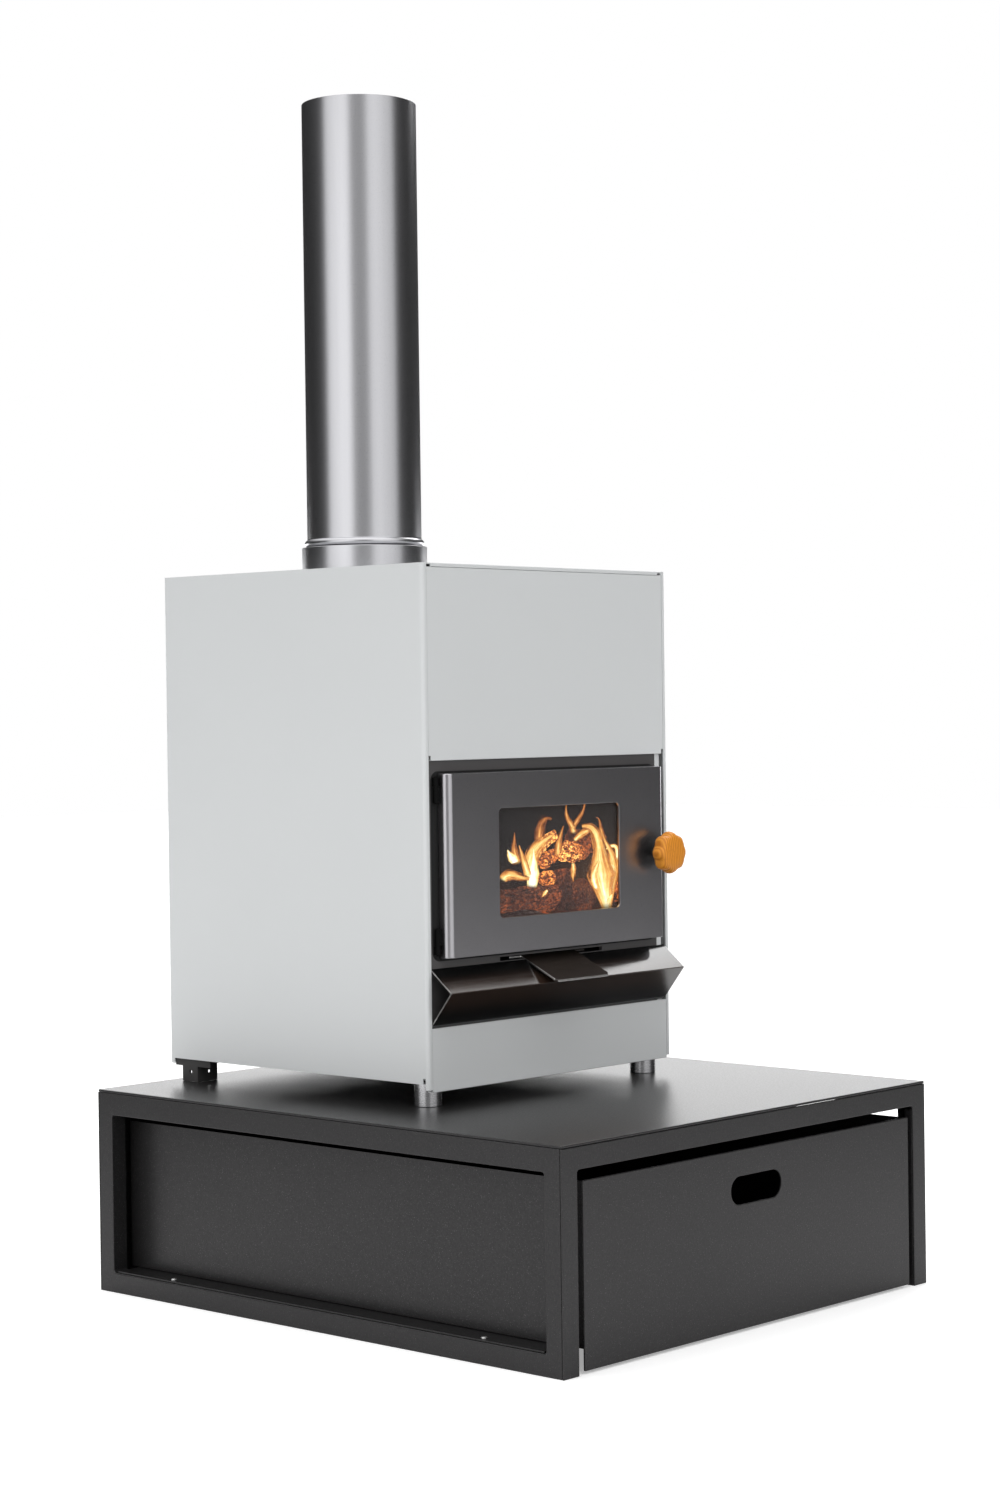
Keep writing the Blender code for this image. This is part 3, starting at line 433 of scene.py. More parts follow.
low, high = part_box("drawer_front")
slot_middle, slot_half, slot_r = 165.5 * MM, 48.0 * MM, 16.5 * MM
arc_steps = 12
wide = [(low.x, low.z), (high.x, low.z), (high.x, high.z), (low.x, high.z)]
slot = [
    (-slot_half, slot_middle - slot_r),
    (slot_half, slot_middle - slot_r),
    (slot_half, slot_middle + slot_r),
    (-slot_half, slot_middle + slot_r),
]
rings = []
for y, outline, radius, inset in (
    (0.00, wide, 1.6, 1.0),
    (0.07, wide, 1.6, 0.62),
    (0.29, wide, 1.6, 0.29),
    (0.62, wide, 1.6, 0.07),
    (1.00, wide, 1.6, 0.0),
    (2.20, wide, 1.6, 0.0),
    (2.50, wide, 1.6, 0.3),
    (2.50, slot, 16.4, -0.5),
    (2.35, slot, 16.4, -0.1),
    (2.10, slot, 16.4, 0.0),
    (0.60, slot, 16.4, 0.0),
    (0.25, slot, 16.4, -0.15),
    (0.05, slot, 16.4, -0.45),
    (0.00, slot, 16.4, -0.9),
):
    ring = eased(outline, radius * MM, arc_steps, inset * MM)
    rings.append(np.insert(ring, 1, low.y + y * MM, axis=1))
piece(
    "wood_drawer_front",
    skin(np.array(rings), closed=True),
    hammered,
    "wood_drawer",
    ["drawer_front"],
)
coat(hammered, "drawer_box")

# ---------------------------------------------------------------------------
# Runner screws: zinc-plated steel, two on each side. They hold the drawer's runners
# to the folded ledges, and only their finish is given here.

zinc = Finish("zinc_plate", Metallic=1.0)
bloom = zinc.noise(900.0, 3.0)
zinc.set(
    Base_Color=zinc.mix(bloom, (0.42, 0.42, 0.43), (0.62, 0.62, 0.60)),
    Roughness=bloom * 0.2 + 0.28,
    Normal=zinc.bump(bloom, 0.00005),
)
coat(zinc, *(f"runner_screw_{side}_{end}" for side in ("left", "right") for end in ("front", "rear")))

# ---------------------------------------------------------------------------
# Casing: two folded side panels with rounded corners, a top, a back and two front
# panels, all of light grey powder-coated sheet with a faint orange-peel skin.

powder = Finish("light_grey_powder_coat", IOR=1.5, Coat_Weight=0.0)
peel = powder.noise(700.0, 2.0, 0.45)
drift = powder.noise(5.0, 3.0)
powder.set(
    Base_Color=powder.mix(drift, (0.640, 0.657, 0.662), (0.664, 0.680, 0.685)),
    Roughness=peel * 0.10 + 0.40,
    Normal=powder.bump(peel, 0.00006, 0.5),
)
coat(
    powder,
    "casing_left",
    "casing_right",
    "casing_back",
    "casing_top",
    "front_upper_panel",
    "front_lower_panel",
    "upright_left",
    "upright_right",
)

# ---------------------------------------------------------------------------
# Feet: two short bright steel tubes under the front corners, and two folded black
# angle brackets under the rear ones.

bright = Finish("bright_steel", Metallic=1.0)
spin = bright.node("Mapping", None, None, Vector=bright.place(), Scale=(1.0, 1.0, 40.0))
lathe = bright.noise(60.0, 4.0, 0.6, spin)
bright.set(
    Base_Color=bright.mix(lathe, (0.55, 0.55, 0.57), (0.70, 0.70, 0.71)),
    Roughness=lathe * 0.12 + 0.20,
    Normal=bright.bump(lathe, 0.00002),
)


def front(y):
    """World Y of a distance in millimetres behind the cabinet's front plane."""
    return -0.077 + y * MM


def turned(profile, centre, count=96):
    """Surface of revolution: every (radius, height) of a profile is carried round an upright
    axis through the centre."""
    profile = np.asarray(profile, float)
    turn = np.linspace(0.0, 2.0 * math.pi, count, endpoint=False)
    x = centre[0] + profile[:, :1] * np.cos(turn)
    y = centre[1] + profile[:, :1] * np.sin(turn)
    return np.stack((x, y, np.repeat(profile[:, 1:], count, axis=1)), -1)


for side, sign in (("left", -1.0), ("right", 1.0)):
    profile = [(16.1, 254.8), (16.4, 254.95), (16.5, 255.3), (16.5, 282.6), (16.4, 283.0), (16.1, 283.2)]
    profile += [(14.3, 283.2), (14.0, 282.9), (14.0, 255.1), (14.3, 254.8)]
    tube = turned(np.array(profile) * MM, (sign * 0.200, front(26.2)))
    piece(f"foot_front_{side}", skin(tube, closed=True), bright, "stove", [f"front_foot_{side}"])

iron = Finish("heat_resistant_black", IOR=1.5)
grit = iron.noise(1100.0, 2.0)
film = iron.noise(9.0, 3.0)
iron.set(
    Base_Color=iron.mix(film, (0.030, 0.030, 0.031), (0.046, 0.044, 0.043)),
    Roughness=grit * 0.2 + 0.45,
    Normal=iron.bump(grit, 0.00008, 0.6),
)
coat(
    iron,
    "base_plate",
    "rear_foot_left",
    "rear_foot_right",
    "firebox_stand_left",
    "firebox_stand_right",
    "firebox_body",
    "latch_spindle",
    "latch_bar",
    "glass_retainer",
)

# ---------------------------------------------------------------------------
# Firebox front: a thinly painted plate with a painted shadow, a near-black rounded patch round
# the door, and the hinge, knuckles and slide guide painted near black as shade in that patch.

land = Finish("smoked_front_plate", IOR=1.5)
land_grit = land.noise(1100.0, 2.0)
land_film = land.noise(9.0, 3.0)
patch_middle, patch_reach = (-0.0055, 0.0, 0.5420), (0.1955, 9.0, 0.1010)
beside_patch = land.vector("ABSOLUTE", land.vector("SUBTRACT", land.place(), patch_middle))
past = land.vector("MAXIMUM", land.vector("SUBTRACT", beside_patch, patch_reach))
rounded = land.vector("LENGTH", past, out="Value")
# painted shadow: the rounded patch round the door is coloured near black to stand for the shade in the
# gap behind it
shaded = rounded.step(0.0128, 0.0118)
bare = land.mix(land_film, (0.062, 0.060, 0.061), (0.078, 0.074, 0.074))
land.set(
    Base_Color=land.mix(shaded, bare, (0.002, 0.002, 0.002)),
    Roughness=land_grit * 0.2 + shaded * 0.35 + 0.38,
    Normal=land.bump(land_grit, 0.00008, 0.6),
)
coat(land, "firebox_front_plate")
# painted shade: the hinge, knuckles and slide guide are coloured near black to vanish into the shadow
# round the door
hidden = Finish("sooty_hinge_steel", IOR=1.2)
hinge_mottle = hidden.noise(700.0, 3.0)
hidden.set(
    Base_Color=hidden.mix(hinge_mottle, (0.002, 0.002, 0.002), (0.005, 0.005, 0.005)),
    Roughness=hinge_mottle * 0.2 + 0.7,
)
coat(hidden, *(f"hinge_{part}_{place}" for part in ("pin", "bracket") for place in ("upper", "lower")))
coat(hidden, "door_knuckle_upper", "door_knuckle_lower", "air_slide_guide")

# ---------------------------------------------------------------------------
# Fire lining: cast clay bricks and a baffle board, pale where they are hot and
# clean, and smoked black towards the top.

brick = Finish("fired_clay", Roughness=0.9)
grain = brick.noise(240.0, 4.0, 0.65)
smoke = brick.noise(14.0, 3.0)
tall = brick.node("SeparateXYZ", None, "Z", Vector=brick.place())
soot = (tall + smoke * 0.12).step(0.48, 0.60)
clay = brick.mix(grain, (0.30, 0.24, 0.17), (0.48, 0.40, 0.30))
brick.set(
    Base_Color=brick.mix(soot * 0.55 + 0.42, clay, (0.016, 0.015, 0.0145)),
    Normal=brick.bump(grain, 0.0006),
)
coat(brick, "firebrick_floor", "firebrick_left", "firebrick_right", "firebrick_back", "smoke_baffle")

# ---------------------------------------------------------------------------
# Fire: split logs charred through, a bed of ash and embers, and thin sheets of
# flame that lick round them.

def hearth(across, depth, height):
    """A place in the fire in metres, from millimetres across the window from its middle, behind
    the front plane and above the window's sill. Deeper places lie further right, in line with
    the window as someone at the stove's left front sees it."""
    glass_depth, drift_per_depth, sill = -14.0, 1.084, 475.5
    aside = across + drift_per_depth * (depth - glass_depth)
    return np.array((aside * MM, front(depth), (sill + height) * MM))


def smooth_path(points, count):
    """Evenly spaced shares along a route, and the polynomial curve that best fits its points,
    which are given as places in the fire."""
    points = np.array([hearth(*point) for point in points])
    t = np.linspace(0.0, 1.0, count)
    knots = np.linspace(0.0, 1.0, len(points))
    fit = [np.poly1d(np.polyfit(knots, points[:, k], min(4, len(points) - 1))) for k in range(3)]
    return t, np.stack([f(t) for f in fit], -1)


def lay_uv(made, first, second):
    """UV map from two values at every point."""
    corner = np.empty(len(made.data.loops), int)
    made.data.loops.foreach_get("vertex_index", corner)
    layer = made.data.uv_layers.new(name="UVMap")
    layer.data.foreach_set("uv", np.stack((first[corner], second[corner]), -1).ravel())


def lay_value(made, name, values):
    """Named number at every point, for the finish to read."""
    made.data.attributes.new(name, "FLOAT", "POINT").data.foreach_set("value", values.astype(np.float32))


char = Finish("charred_log", Roughness=0.85, Emission_Strength=3.4)
along = char.node("UVMap", None, "UV")
stretched = char.node("Mapping", None, None, Vector=along, Scale=(3.0, 26.0, 1.0))
fibre = char.noise(3.0, 5.0, 0.65, stretched).step(0.34, 0.66)
crack = char.node(
    "TexVoronoi", {"feature": "DISTANCE_TO_EDGE"}, "Distance", Vector=char.place(), Scale=110.0
).step(0.09, 0.0)
heat = char.noise(45.0, 3.0).step(0.46, 0.66)
lit = char.node("Attribute", {"attribute_name": "glow"}, "Fac")
patchy = char.noise(230.0, 4.0, 0.7).step(0.40, 0.60)
fire_light = char.node(
    "ValToRGB",
    {
        "stops": [
            (0.0, (0.0, 0.0, 0.0)),
            (0.22, (0.030, 0.008, 0.004)),
            (0.42, (0.16, 0.036, 0.010)),
            (0.62, (0.50, 0.125, 0.022)),
            (0.82, (0.80, 0.30, 0.055)),
            (1.0, (0.98, 0.58, 0.17)),
        ]
    },
    None,
    Fac=lit * (fibre * 0.55 + patchy * 0.85 + 0.05) * (1.0 - crack * 0.70) + crack * heat * 0.36,
)
char.set(
    Base_Color=char.mix(fibre, (0.010, 0.008, 0.007), (0.12, 0.055, 0.03)),
    Emission_Color=fire_light,
    Normal=char.bump(fibre + crack * -0.6, 0.003),
)


def split_log(name, path, radius, glow, seed):
    """A split log: rings along a curved axis, each a rough wedge whose radius follows two low
    waves round the axis and a little noise, with its ends drawn in to blunt faces."""
    draw = np.random.default_rng(seed)
    stations, count = 30, 40
    t, mid = smooth_path(path, stations)
    axis = unit(np.gradient(mid, axis=0))
    across = unit(np.cross(axis, (0.05, 0.1, 1.0) if abs(axis[0, 2]) < 0.9 else (1.0, 0.1, 0.0)))
    upper = np.cross(axis, across)
    turn = np.linspace(0.0, 2 * math.pi, count, endpoint=False)
    waves = draw.uniform(0.0, 2 * math.pi, 6)
    outline = 1 + 0.16 * np.cos(2 * turn + waves[0]) + 0.10 * np.cos(3 * turn + waves[1])
    outline = outline + 0.05 * np.cos(7 * turn + waves[2])
    bend = 1 + 0.06 * np.sin(5 * t + waves[3]) + 0.04 * np.sin(13 * t + waves[4])
    blunt = np.minimum(1.0, np.minimum(0.55 + t * 14, 0.55 + (1 - t) * 14))
    size = radius * MM * (bend * blunt)[:, None] * outline[None, :]
    size = size * (1 + 0.05 * draw.standard_normal((stations, count)))
    rings = mid[:, None, :] + size[..., None] * (
        np.cos(turn)[None, :, None] * across[:, None, :] + np.sin(turn)[None, :, None] * upper[:, None, :]
    )
    made = piece(name, skin(rings), char, "stove", flat=False)
    lay_uv(made, np.repeat(t, count), np.tile(turn / (2 * math.pi), stations))
    lay_value(made, "glow", np.repeat(np.interp(t, np.linspace(0.0, 1.0, len(glow)), glow), count))


for name, path, radius, glow, seed in (
    ("log_front", [(-150, 55, 13), (-80, 46, 15), (-14, 40, 14)], 17.0, (0.22, 0.27, 0.36), 3),
    ("log_upright", [(8, 26, -4), (7, 30, 22), (6, 34, 50)], 9.5, (0.16, 0.18, 0.34), 5),
    (
        "log_arch",
        [(-56, 34, 44), (-48, 36, 68), (-30, 38, 84), (-8, 42, 92)],
        6.5,
        (0.8, 1.0, 1.0, 0.7),
        8,
    ),
    ("log_block", [(-30, 40, 56), (-22, 44, 64), (-8, 52, 66)], 8.5, (0.68, 0.62, 0.50), 12),
    ("log_end", [(10, 28, 72), (20, 36, 71), (44, 70, 70)], 11.5, (0.86, 0.72, 0.42), 21),
    ("log_cross", [(20, 62, 88), (46, 58, 82), (72, 54, 74)], 10.5, (0.26, 0.34, 0.42), 23),
    ("log_right", [(26, 24, 8), (46, 60, 14), (66, 110, 16)], 17.0, (0.27, 0.24, 0.24), 27),
    ("log_embers", [(-34, 50, 34), (-18, 48, 40), (-6, 46, 34)], 9.0, (0.62, 0.74, 0.56), 31),
    ("log_side", [(104, 20, 4), (100, 24, 30), (104, 26, 60)], 9.0, (0.44, 0.56, 0.50), 33),
):
    split_log(name, path, radius, glow, seed)

bed = Finish("ember_bed", Roughness=0.95, Emission_Strength=1.0)
coal = bed.node("TexVoronoi", {"feature": "F1"}, "Distance", Vector=bed.place(), Scale=95.0)
glow = bed.noise(26.0, 3.0).step(0.45, 0.68)
bed.set(
    Base_Color=bed.mix(coal.step(0.1, 0.6), (0.16, 0.14, 0.13), (0.015, 0.012, 0.011)),
    Emission_Color=bed.mix(glow * coal.step(0.25, 0.65), (0.02, 0.004, 0.001), (0.9, 0.17, 0.025)),
    Normal=bed.bump(coal, 0.004),
)
bed_half, bed_front, bed_foot, bed_level = 0.1445, front(9.5), 0.4652, 0.4685
bed_columns, bed_rows = np.linspace(-bed_half, bed_half, 90), np.linspace(bed_front, front(390), 110)
bed_x, bed_y = np.meshgrid(bed_columns, bed_rows, indexing="ij")
bumps = np.random.default_rng(4)
bed_z = np.full_like(bed_x, bed_level)
for _ in range(40):
    cx, cy = bumps.uniform(-0.14, 0.14), bumps.uniform(front(15), front(380))
    wide_by, tall_by = bumps.uniform(0.008, 0.025), bumps.uniform(0.002, 0.010)
    bed_z += tall_by * np.exp(-((bed_x - cx) ** 2 + (bed_y - cy) ** 2) / (2 * wide_by**2))
rim = np.minimum(1.0, np.minimum((bed_half - np.abs(bed_x)) / 0.004, (bed_y - bed_front) / 0.004))
top = bed_foot + (bed_z - bed_foot) * np.clip(rim, 0.0, 1.0)
sheet = np.stack((bed_x, bed_y, top), -1)
piece("ember_bed", skin(sheet, wrap=False), bed, "stove", flat=False, solid=False)

flame = Finish("flame", Roughness=1.0, Specular_IOR_Level=0.0, Emission_Strength=2.7)
flame.set(Base_Color=(0.0, 0.0, 0.0))
lie = flame.node("UVMap", None, "UV")
up = flame.node("SeparateXYZ", None, "X", Vector=lie)
over = flame.node("SeparateXYZ", None, "Y", Vector=lie)
strand = flame.noise(2.6, 3.0, 0.55, flame.node("Mapping", None, None, Vector=lie, Scale=(1.2, 4.4, 1.0)))
wisp = flame.noise(75.0, 3.0, 0.6)
hot = flame.node("Attribute", {"attribute_name": "warmth"}, "Fac")
middle_of = 1.0 - (over * 2.0 - 1.0).abs()
core = middle_of * 0.70 + strand * 1.10 - up * 0.40 + wisp * 0.40 + hot - 0.62
shape = (middle_of * 1.3 + strand * 1.5 + wisp * 0.7 - up * 0.70 + hot * 0.35).step(0.86, 1.44)
flame.set(
    Emission_Color=flame.node(
        "ValToRGB",
        {
            "stops": [
                (0.13, (0.05, 0.012, 0.003)),
                (0.29, (0.17, 0.050, 0.011)),
                (0.44, (0.40, 0.145, 0.030)),
                (0.57, (0.62, 0.33, 0.085)),
                (0.72, (0.76, 0.60, 0.24)),
                (1.0, (1.0, 1.0, 0.80)),
            ]
        },
        None,
        Fac=core * 0.6667,
    ),
    Alpha=shape * up.step(0.0, 0.10) * middle_of.step(0.0, 0.16),
)


def flame_sheet(name, path, widths, heat):
    """A sheet of flame: a smooth curve through the path's points, spread to either side by a
    width in millimetres, and bowed so that its middle stands forward of its edges."""
    stations, columns = 44, 15
    t, line = smooth_path(path, stations)
    width = np.interp(t, np.linspace(0, 1, len(widths)), widths) * MM
    facing = unit(np.array((-0.73, -0.68, 0.0)))
    aside = unit(np.cross(unit(np.gradient(line, axis=0)), facing))
    v = np.linspace(-1.0, 1.0, columns)
    rings = line[:, None, :] + aside[:, None, :] * (v[None, :, None] * width[:, None, None])
    rings = rings + facing * (0.3 * width[:, None, None] * (1 - v[None, :, None] ** 2))
    made = piece(name, skin(rings, wrap=False), flame, "stove", flat=False, solid=False)
    lay_uv(made, np.repeat(t, columns), np.tile((v + 1) / 2, stations))
    lay_value(made, "warmth", np.full(stations * columns, heat))


for name, heat, widths, path in (
    (
        "flame_right",
        0.46,
        (6.5, 10.5, 15.5, 21.0, 15.0, 9.5, 10.0, 9.0, 4.0),
        [
            (88, 18, -6), (87, 17, 12), (83, 17, 26), (74, 17, 40), (77, 18, 56),
            (78, 19, 72), (73, 20, 88), (58, 23, 99), (44, 25, 103),
        ],
    ),
    (
        "flame_right_core",
        0.74,
        (3.0, 5.0, 5.5, 4.5, 2.0),
        [(92, 14, 4), (95, 14, 26), (89, 14, 46), (84, 15, 66), (78, 16, 84)],
    ),
    (
        "flame_right_foot",
        0.62,
        (2.0, 5.0, 5.0, 2.0),
        [(70, 15, 22), (64, 15, 34), (66, 15, 46), (74, 16, 58)],
    ),
    (
        "flame_right_edge",
        0.40,
        (3.9, 6.5, 9.8, 5.9, 2.0),
        [(93, 12, 0), (99, 12, 30), (102, 12, 54), (94, 13, 72), (82, 15, 92)],
    ),
    (
        "flame_right_ring",
        0.62,
        (5.2, 3.4, 3.4, 2.9, 1.6),
        [(100, 11, 50), (109, 11, 62), (108, 11, 74), (98, 12, 76), (88, 13, 73)],
    ),
    (
        "flame_right_wisp",
        0.10,
        (6.5, 3.9, 2.3, 1.3),
        [(84, 22, 84), (80, 23, 96), (77, 24, 108), (70, 24, 113)],
    ),
    (
        "flame_white_hot",
        0.84,
        (6.5, 8.5, 5.6, 1.2),
        [(-54, 22, 30), (-51, 22, 48), (-50, 23, 62), (-49, 24, 78)],
    ),
    (
        "flame_arch",
        0.44,
        (7.8, 10.4, 9.8, 2.6),
        [(-56, 27, 52), (-52, 28, 70), (-36, 29, 84), (-12, 30, 94)],
    ),
    (
        "flame_left_spot",
        0.86,
        (4.5, 6.5, 4.7, 1.0),
        [(-84, 25, 62), (-88, 25, 68), (-93, 25, 73), (-97, 25, 79)],
    ),
    (
        "flame_left_tall",
        0.12,
        (7.8, 6.5, 3.9, 1.3),
        [(-78, 28, 60), (-84, 28, 76), (-85, 28, 88), (-84, 28, 100)],
    ),
    (
        "flame_left_low",
        0.38,
        (5.2, 8.5, 7.2, 4.5),
        [(-108, 20, 42), (-96, 20, 48), (-80, 20, 46), (-58, 20, 42)],
    ),
    (
        "flame_left_streak",
        0.36,
        (5.2, 4.7, 3.4, 1.0),
        [(-60, 21, 44), (-66, 21, 60), (-72, 22, 74), (-76, 22, 84)],
    ),
    (
        "flame_fork_left",
        0.20,
        (4.2, 4.7, 3.6, 1.0),
        [(28, 48, 92), (22, 48, 106), (15, 48, 116), (15, 48, 132)],
    ),
    (
        "flame_fork_right",
        0.12,
        (4.2, 4.4, 3.9, 2.1),
        [(24, 47, 98), (34, 47, 108), (44, 47, 118), (51, 47, 134)],
    ),
    (
        "flame_hook_under",
        0.34,
        (2.0, 5.2, 6.5, 3.9),
        [(28, 40, 84), (38, 38, 90), (50, 36, 95), (62, 34, 98)],
    ),
    (
        "flame_middle",
        0.22,
        (4.5, 5.9, 4.5, 1.3),
        [(-4, 36, 66), (-2, 36, 80), (2, 37, 92), (8, 38, 104)],
    ),
    (
        "flame_smoky",
        0.02,
        (6.5, 8.5, 7.8, 3.9),
        [(-38, 55, 84), (-36, 55, 100), (-28, 55, 112), (-14, 55, 112)],
    ),
    (
        "flame_low_spark",
        0.45,
        (1.6, 3.4, 1.3),
        [(-24, 20, 26), (-30, 20, 22), (-34, 20, 18)],
    ),
    (
        "flame_drop",
        0.34,
        (2.0, 4.4, 4.7, 1.0),
        [(24, 22, 58), (25, 22, 50), (24, 22, 42), (25, 22, 34)],
    ),
):
    flame_sheet(name, path, widths, heat)

fire_data = bpy.data.lights.new("fire_glow", "POINT")
fire_data.energy = 0.12
fire_data.color = (1.0, 0.42, 0.12)
fire_data.shadow_soft_size = 0.03
fire = bpy.data.objects.new("fire_glow", fire_data)
fire.location = hearth(20, 60, 60)
bpy.context.scene.collection.objects.link(fire)

# ---------------------------------------------------------------------------
# Ash lip: one sheet folded to a V, enamelled gloss black, that catches ash below
# the door.

enamel = Finish("gloss_black_enamel", IOR=1.9, Metallic=0.0)
dust = enamel.noise(1400.0, 2.0)
reach = enamel.node("SeparateXYZ", None, "X", Vector=enamel.place()).abs()
depth = enamel.node("SeparateXYZ", None, "Y", Vector=enamel.place())
lip_edge_jitter = enamel.noise(420.0, 3.0)
cut_end = (reach + lip_edge_jitter * 0.0006).step(0.2167, 0.2172)
# painted reflection: brown that deepens towards the front of the upper face, and a paler brown band along
# the fold, stand for what the gloss enamel reflects
fold = (depth + lip_edge_jitter * 0.0012).step(front(-30.3), front(-31.3))
painted_reflection_brown = enamel.mix(depth.step(front(-6.0), front(-26.0)), (0.004, 0.004, 0.004), (0.030, 0.018, 0.013))
body_colour = enamel.mix(fold * 0.6, painted_reflection_brown, (0.16, 0.095, 0.065))
enamel.set(
    Base_Color=enamel.mix(cut_end, body_colour, (0.42, 0.41, 0.40)),
    Roughness=dust * 0.06 + 0.10,
    Metallic=cut_end * 0.8,
    Normal=enamel.bump(dust, 0.00002, 0.3),
)
lip_outline = [(2.7, 420.5), (-31.5, 393.0), (2.7, 350.3), (2.7, 352.7), (-29.4, 392.85), (2.7, 418.5)]
lip_outline = [(front(a), b * MM) for a, b in lip_outline]
lip_radius = np.array((0.2, 1.0, 0.2, 0.2, 0.3, 0.2)) * MM
piece(
    "ash_lip_sheet",
    pressed(lip_outline, lip_radius, "X", -0.2172, 0.2172, 0.15 * MM, 4),
    enamel,
    "stove",
    ["ash_lip"],
)

# ---------------------------------------------------------------------------
# Air control: a black T-shaped sheet whose tongue bends down over the lip; its front
# edge and left side are bright bare metal, a painted edge highlight.

slide_finish = Finish("worn_black_slide", IOR=1.7)
slide_mottle = slide_finish.noise(160.0, 4.0)
near_edge = slide_finish.node("SeparateXYZ", None, "Y", Vector=slide_finish.place())
side_edge = slide_finish.node("SeparateXYZ", None, "X", Vector=slide_finish.place())
# painted highlight: the front edge and the left side are made bright bare metal to stand for their edge
# highlights
front_edge_highlight = (near_edge + slide_mottle * 0.0008).step(front(-48.0), front(-48.7))
edge = front_edge_highlight + (side_edge + slide_mottle * 0.0006).step(-0.0490, -0.0496)
black = slide_finish.mix(slide_mottle, (0.022, 0.017, 0.014), (0.040, 0.030, 0.025))
slide_finish.set(
    Base_Color=slide_finish.mix(edge, black, (0.70, 0.69, 0.68)),
    Metallic=edge,
    Roughness=slide_mottle * 0.06 + 0.22,
    Normal=slide_finish.bump(slide_mottle, 0.00001, 0.3),
)
tongue = [(-46.0, -49.0), (46.0, -49.0), (50.0, -45.0), (50.0, 10.0), (70.0, 10.0), (70.0, 40.0)]
tongue += [(-70.0, 40.0), (-70.0, 10.0), (-50.0, 10.0), (-50.0, -45.0)]
points, faces = pressed(np.array(tongue) * MM, 0.6 * MM, "Z", 0.0, 2.5 * MM, 0.35 * MM, 4)
bend_at = 4.0 * MM
into_bend = np.clip(-points[:, 1], 0.0, bend_at)
fall = np.where(points[:, 1] < -bend_at, points[:, 1] + bend_at / 2, -(into_bend**2) / (2 * bend_at))
slope, slide_level = 0.585, 0.4222
points = np.stack((points[:, 0], points[:, 1], points[:, 2] + slide_level + slope * fall), -1)
points[:, 1] += front(0.0)
piece("air_control_tongue", (points, faces), slide_finish, "air_control", ["air_slide"])

# ---------------------------------------------------------------------------
# Flue: a satin steel pipe with one rolled bead near its foot, standing in a collar
# of the same steel behind the front of the cabinet's top.

satin = Finish("satin_steel", Metallic=1.0)
speck = satin.noise(1600.0, 2.0)
sweep_coord = satin.node("Mapping", None, None, Vector=satin.place(), Scale=(1.0, 1.0, 0.03))
drawn = satin.noise(170.0, 3.0, 0.5, sweep_coord)
satin.set(
    Base_Color=satin.mix(speck * 0.6 + drawn * 0.4, (0.47, 0.47, 0.49), (0.57, 0.57, 0.59)),
    Roughness=speck * 0.10 + 0.24,
    Normal=satin.bump(speck, 0.00004, 0.5),
)
flue_centre = (0.0, front(323.7))
bead_turn = np.linspace(0.0, math.pi, 15)
bead = np.stack((75.0 + 3.4 * np.sin(bead_turn) ** 1.5, 947.8 - 4.9 * np.cos(bead_turn)), -1)
pipe = np.concatenate(
    (
        [(73.6, 885.0), (74.9, 885.0), (75.0, 885.2), (75.0, 941.5)],
        bead,
        [(75.0, 954.2), (75.0, 1238.0), (75.0, 1521.6), (74.9, 1522.0)],
        [(73.6, 1522.0), (73.5, 1521.8), (73.5, 885.2)],
    )
)
piece(
    "flue_tube",
    skin(turned(pipe * MM, flue_centre, count=160), closed=True),
    satin,
    "stove",
    ["flue_pipe"],
)
collar = [(76.5, 860.4), (81.9, 860.3), (82.0, 860.6), (82.0, 941.5), (81.8, 942.1), (81.2, 942.5)]
collar += [(77.2, 942.5), (76.7, 942.2), (76.5, 941.8)]
piece(
    "flue_socket",
    skin(turned(np.array(collar) * MM, flue_centre, count=160), closed=True),
    satin,
    "stove",
    ["flue_collar"],
)

# ---------------------------------------------------------------------------
# Door: a satin steel plate with its left and right sides bent back, cut square above
# and below, with a flush window and a rope seal pressed into a pocket behind it.

door_coat = Finish("satin_door_steel", Metallic=1.0)
pore = door_coat.noise(1300.0, 2.0)
mottle = door_coat.noise(7.0, 3.0)
door_coat.set(
    Base_Color=door_coat.mix(mottle, (0.43, 0.42, 0.44), (0.49, 0.48, 0.50)),
    Roughness=pore * 0.08 + 0.25,
    Normal=door_coat.bump(pore, 0.00003, 0.4),
)


def door_ring(depth, centre, half, radius, steps=8):
    """Rounded rectangle across the door at a depth in millimetres."""
    box = np.array([(-1, -1), (1, -1), (1, 1), (-1, 1)]) * half
    box = (box + (0.0, centre)) * MM
    return np.insert(eased(box, radius * MM, steps), 1, front(depth), axis=1)


rings = [door_ring(2.2, 542.25, (201.2, 109.95), 1.2), door_ring(1.9, 542.25, (201.5, 110.25), 1.5)]
for turn in np.linspace(0.0, math.pi / 2, 15):
    inset, trim = 9.0 * (1 - math.cos(turn)), 0.8 * (1 - math.cos(turn))
    level = -14.0 + 9.0 * (1 - math.sin(turn))
    rings.append(door_ring(level, 542.25, (201.5 - inset, 110.25 - trim), 1.5))
for turn in np.linspace(0.0, math.pi / 2, 6):
    grow = 0.35 * (1.0 - math.sin(turn))
    sink = 0.35 * (1.0 - math.cos(turn))
    rings.append(door_ring(-14.0 + sink, 542.0, (112.0 + grow, 66.5 + grow), 6.0 + grow))
rings += [door_ring(-11.2, 542.0, (112.0, 66.5), 6.0), door_ring(-11.0, 542.0, (112.2, 66.7), 6.0)]
rings += [door_ring(-11.0, 542.0, (171.6, 96.1), 5.6), door_ring(-10.6, 542.0, (172.0, 96.5), 6.0)]
rings += [door_ring(-3.4, 542.0, (172.0, 96.5), 6.0), door_ring(-3.0, 542.0, (172.4, 96.9), 6.4)]
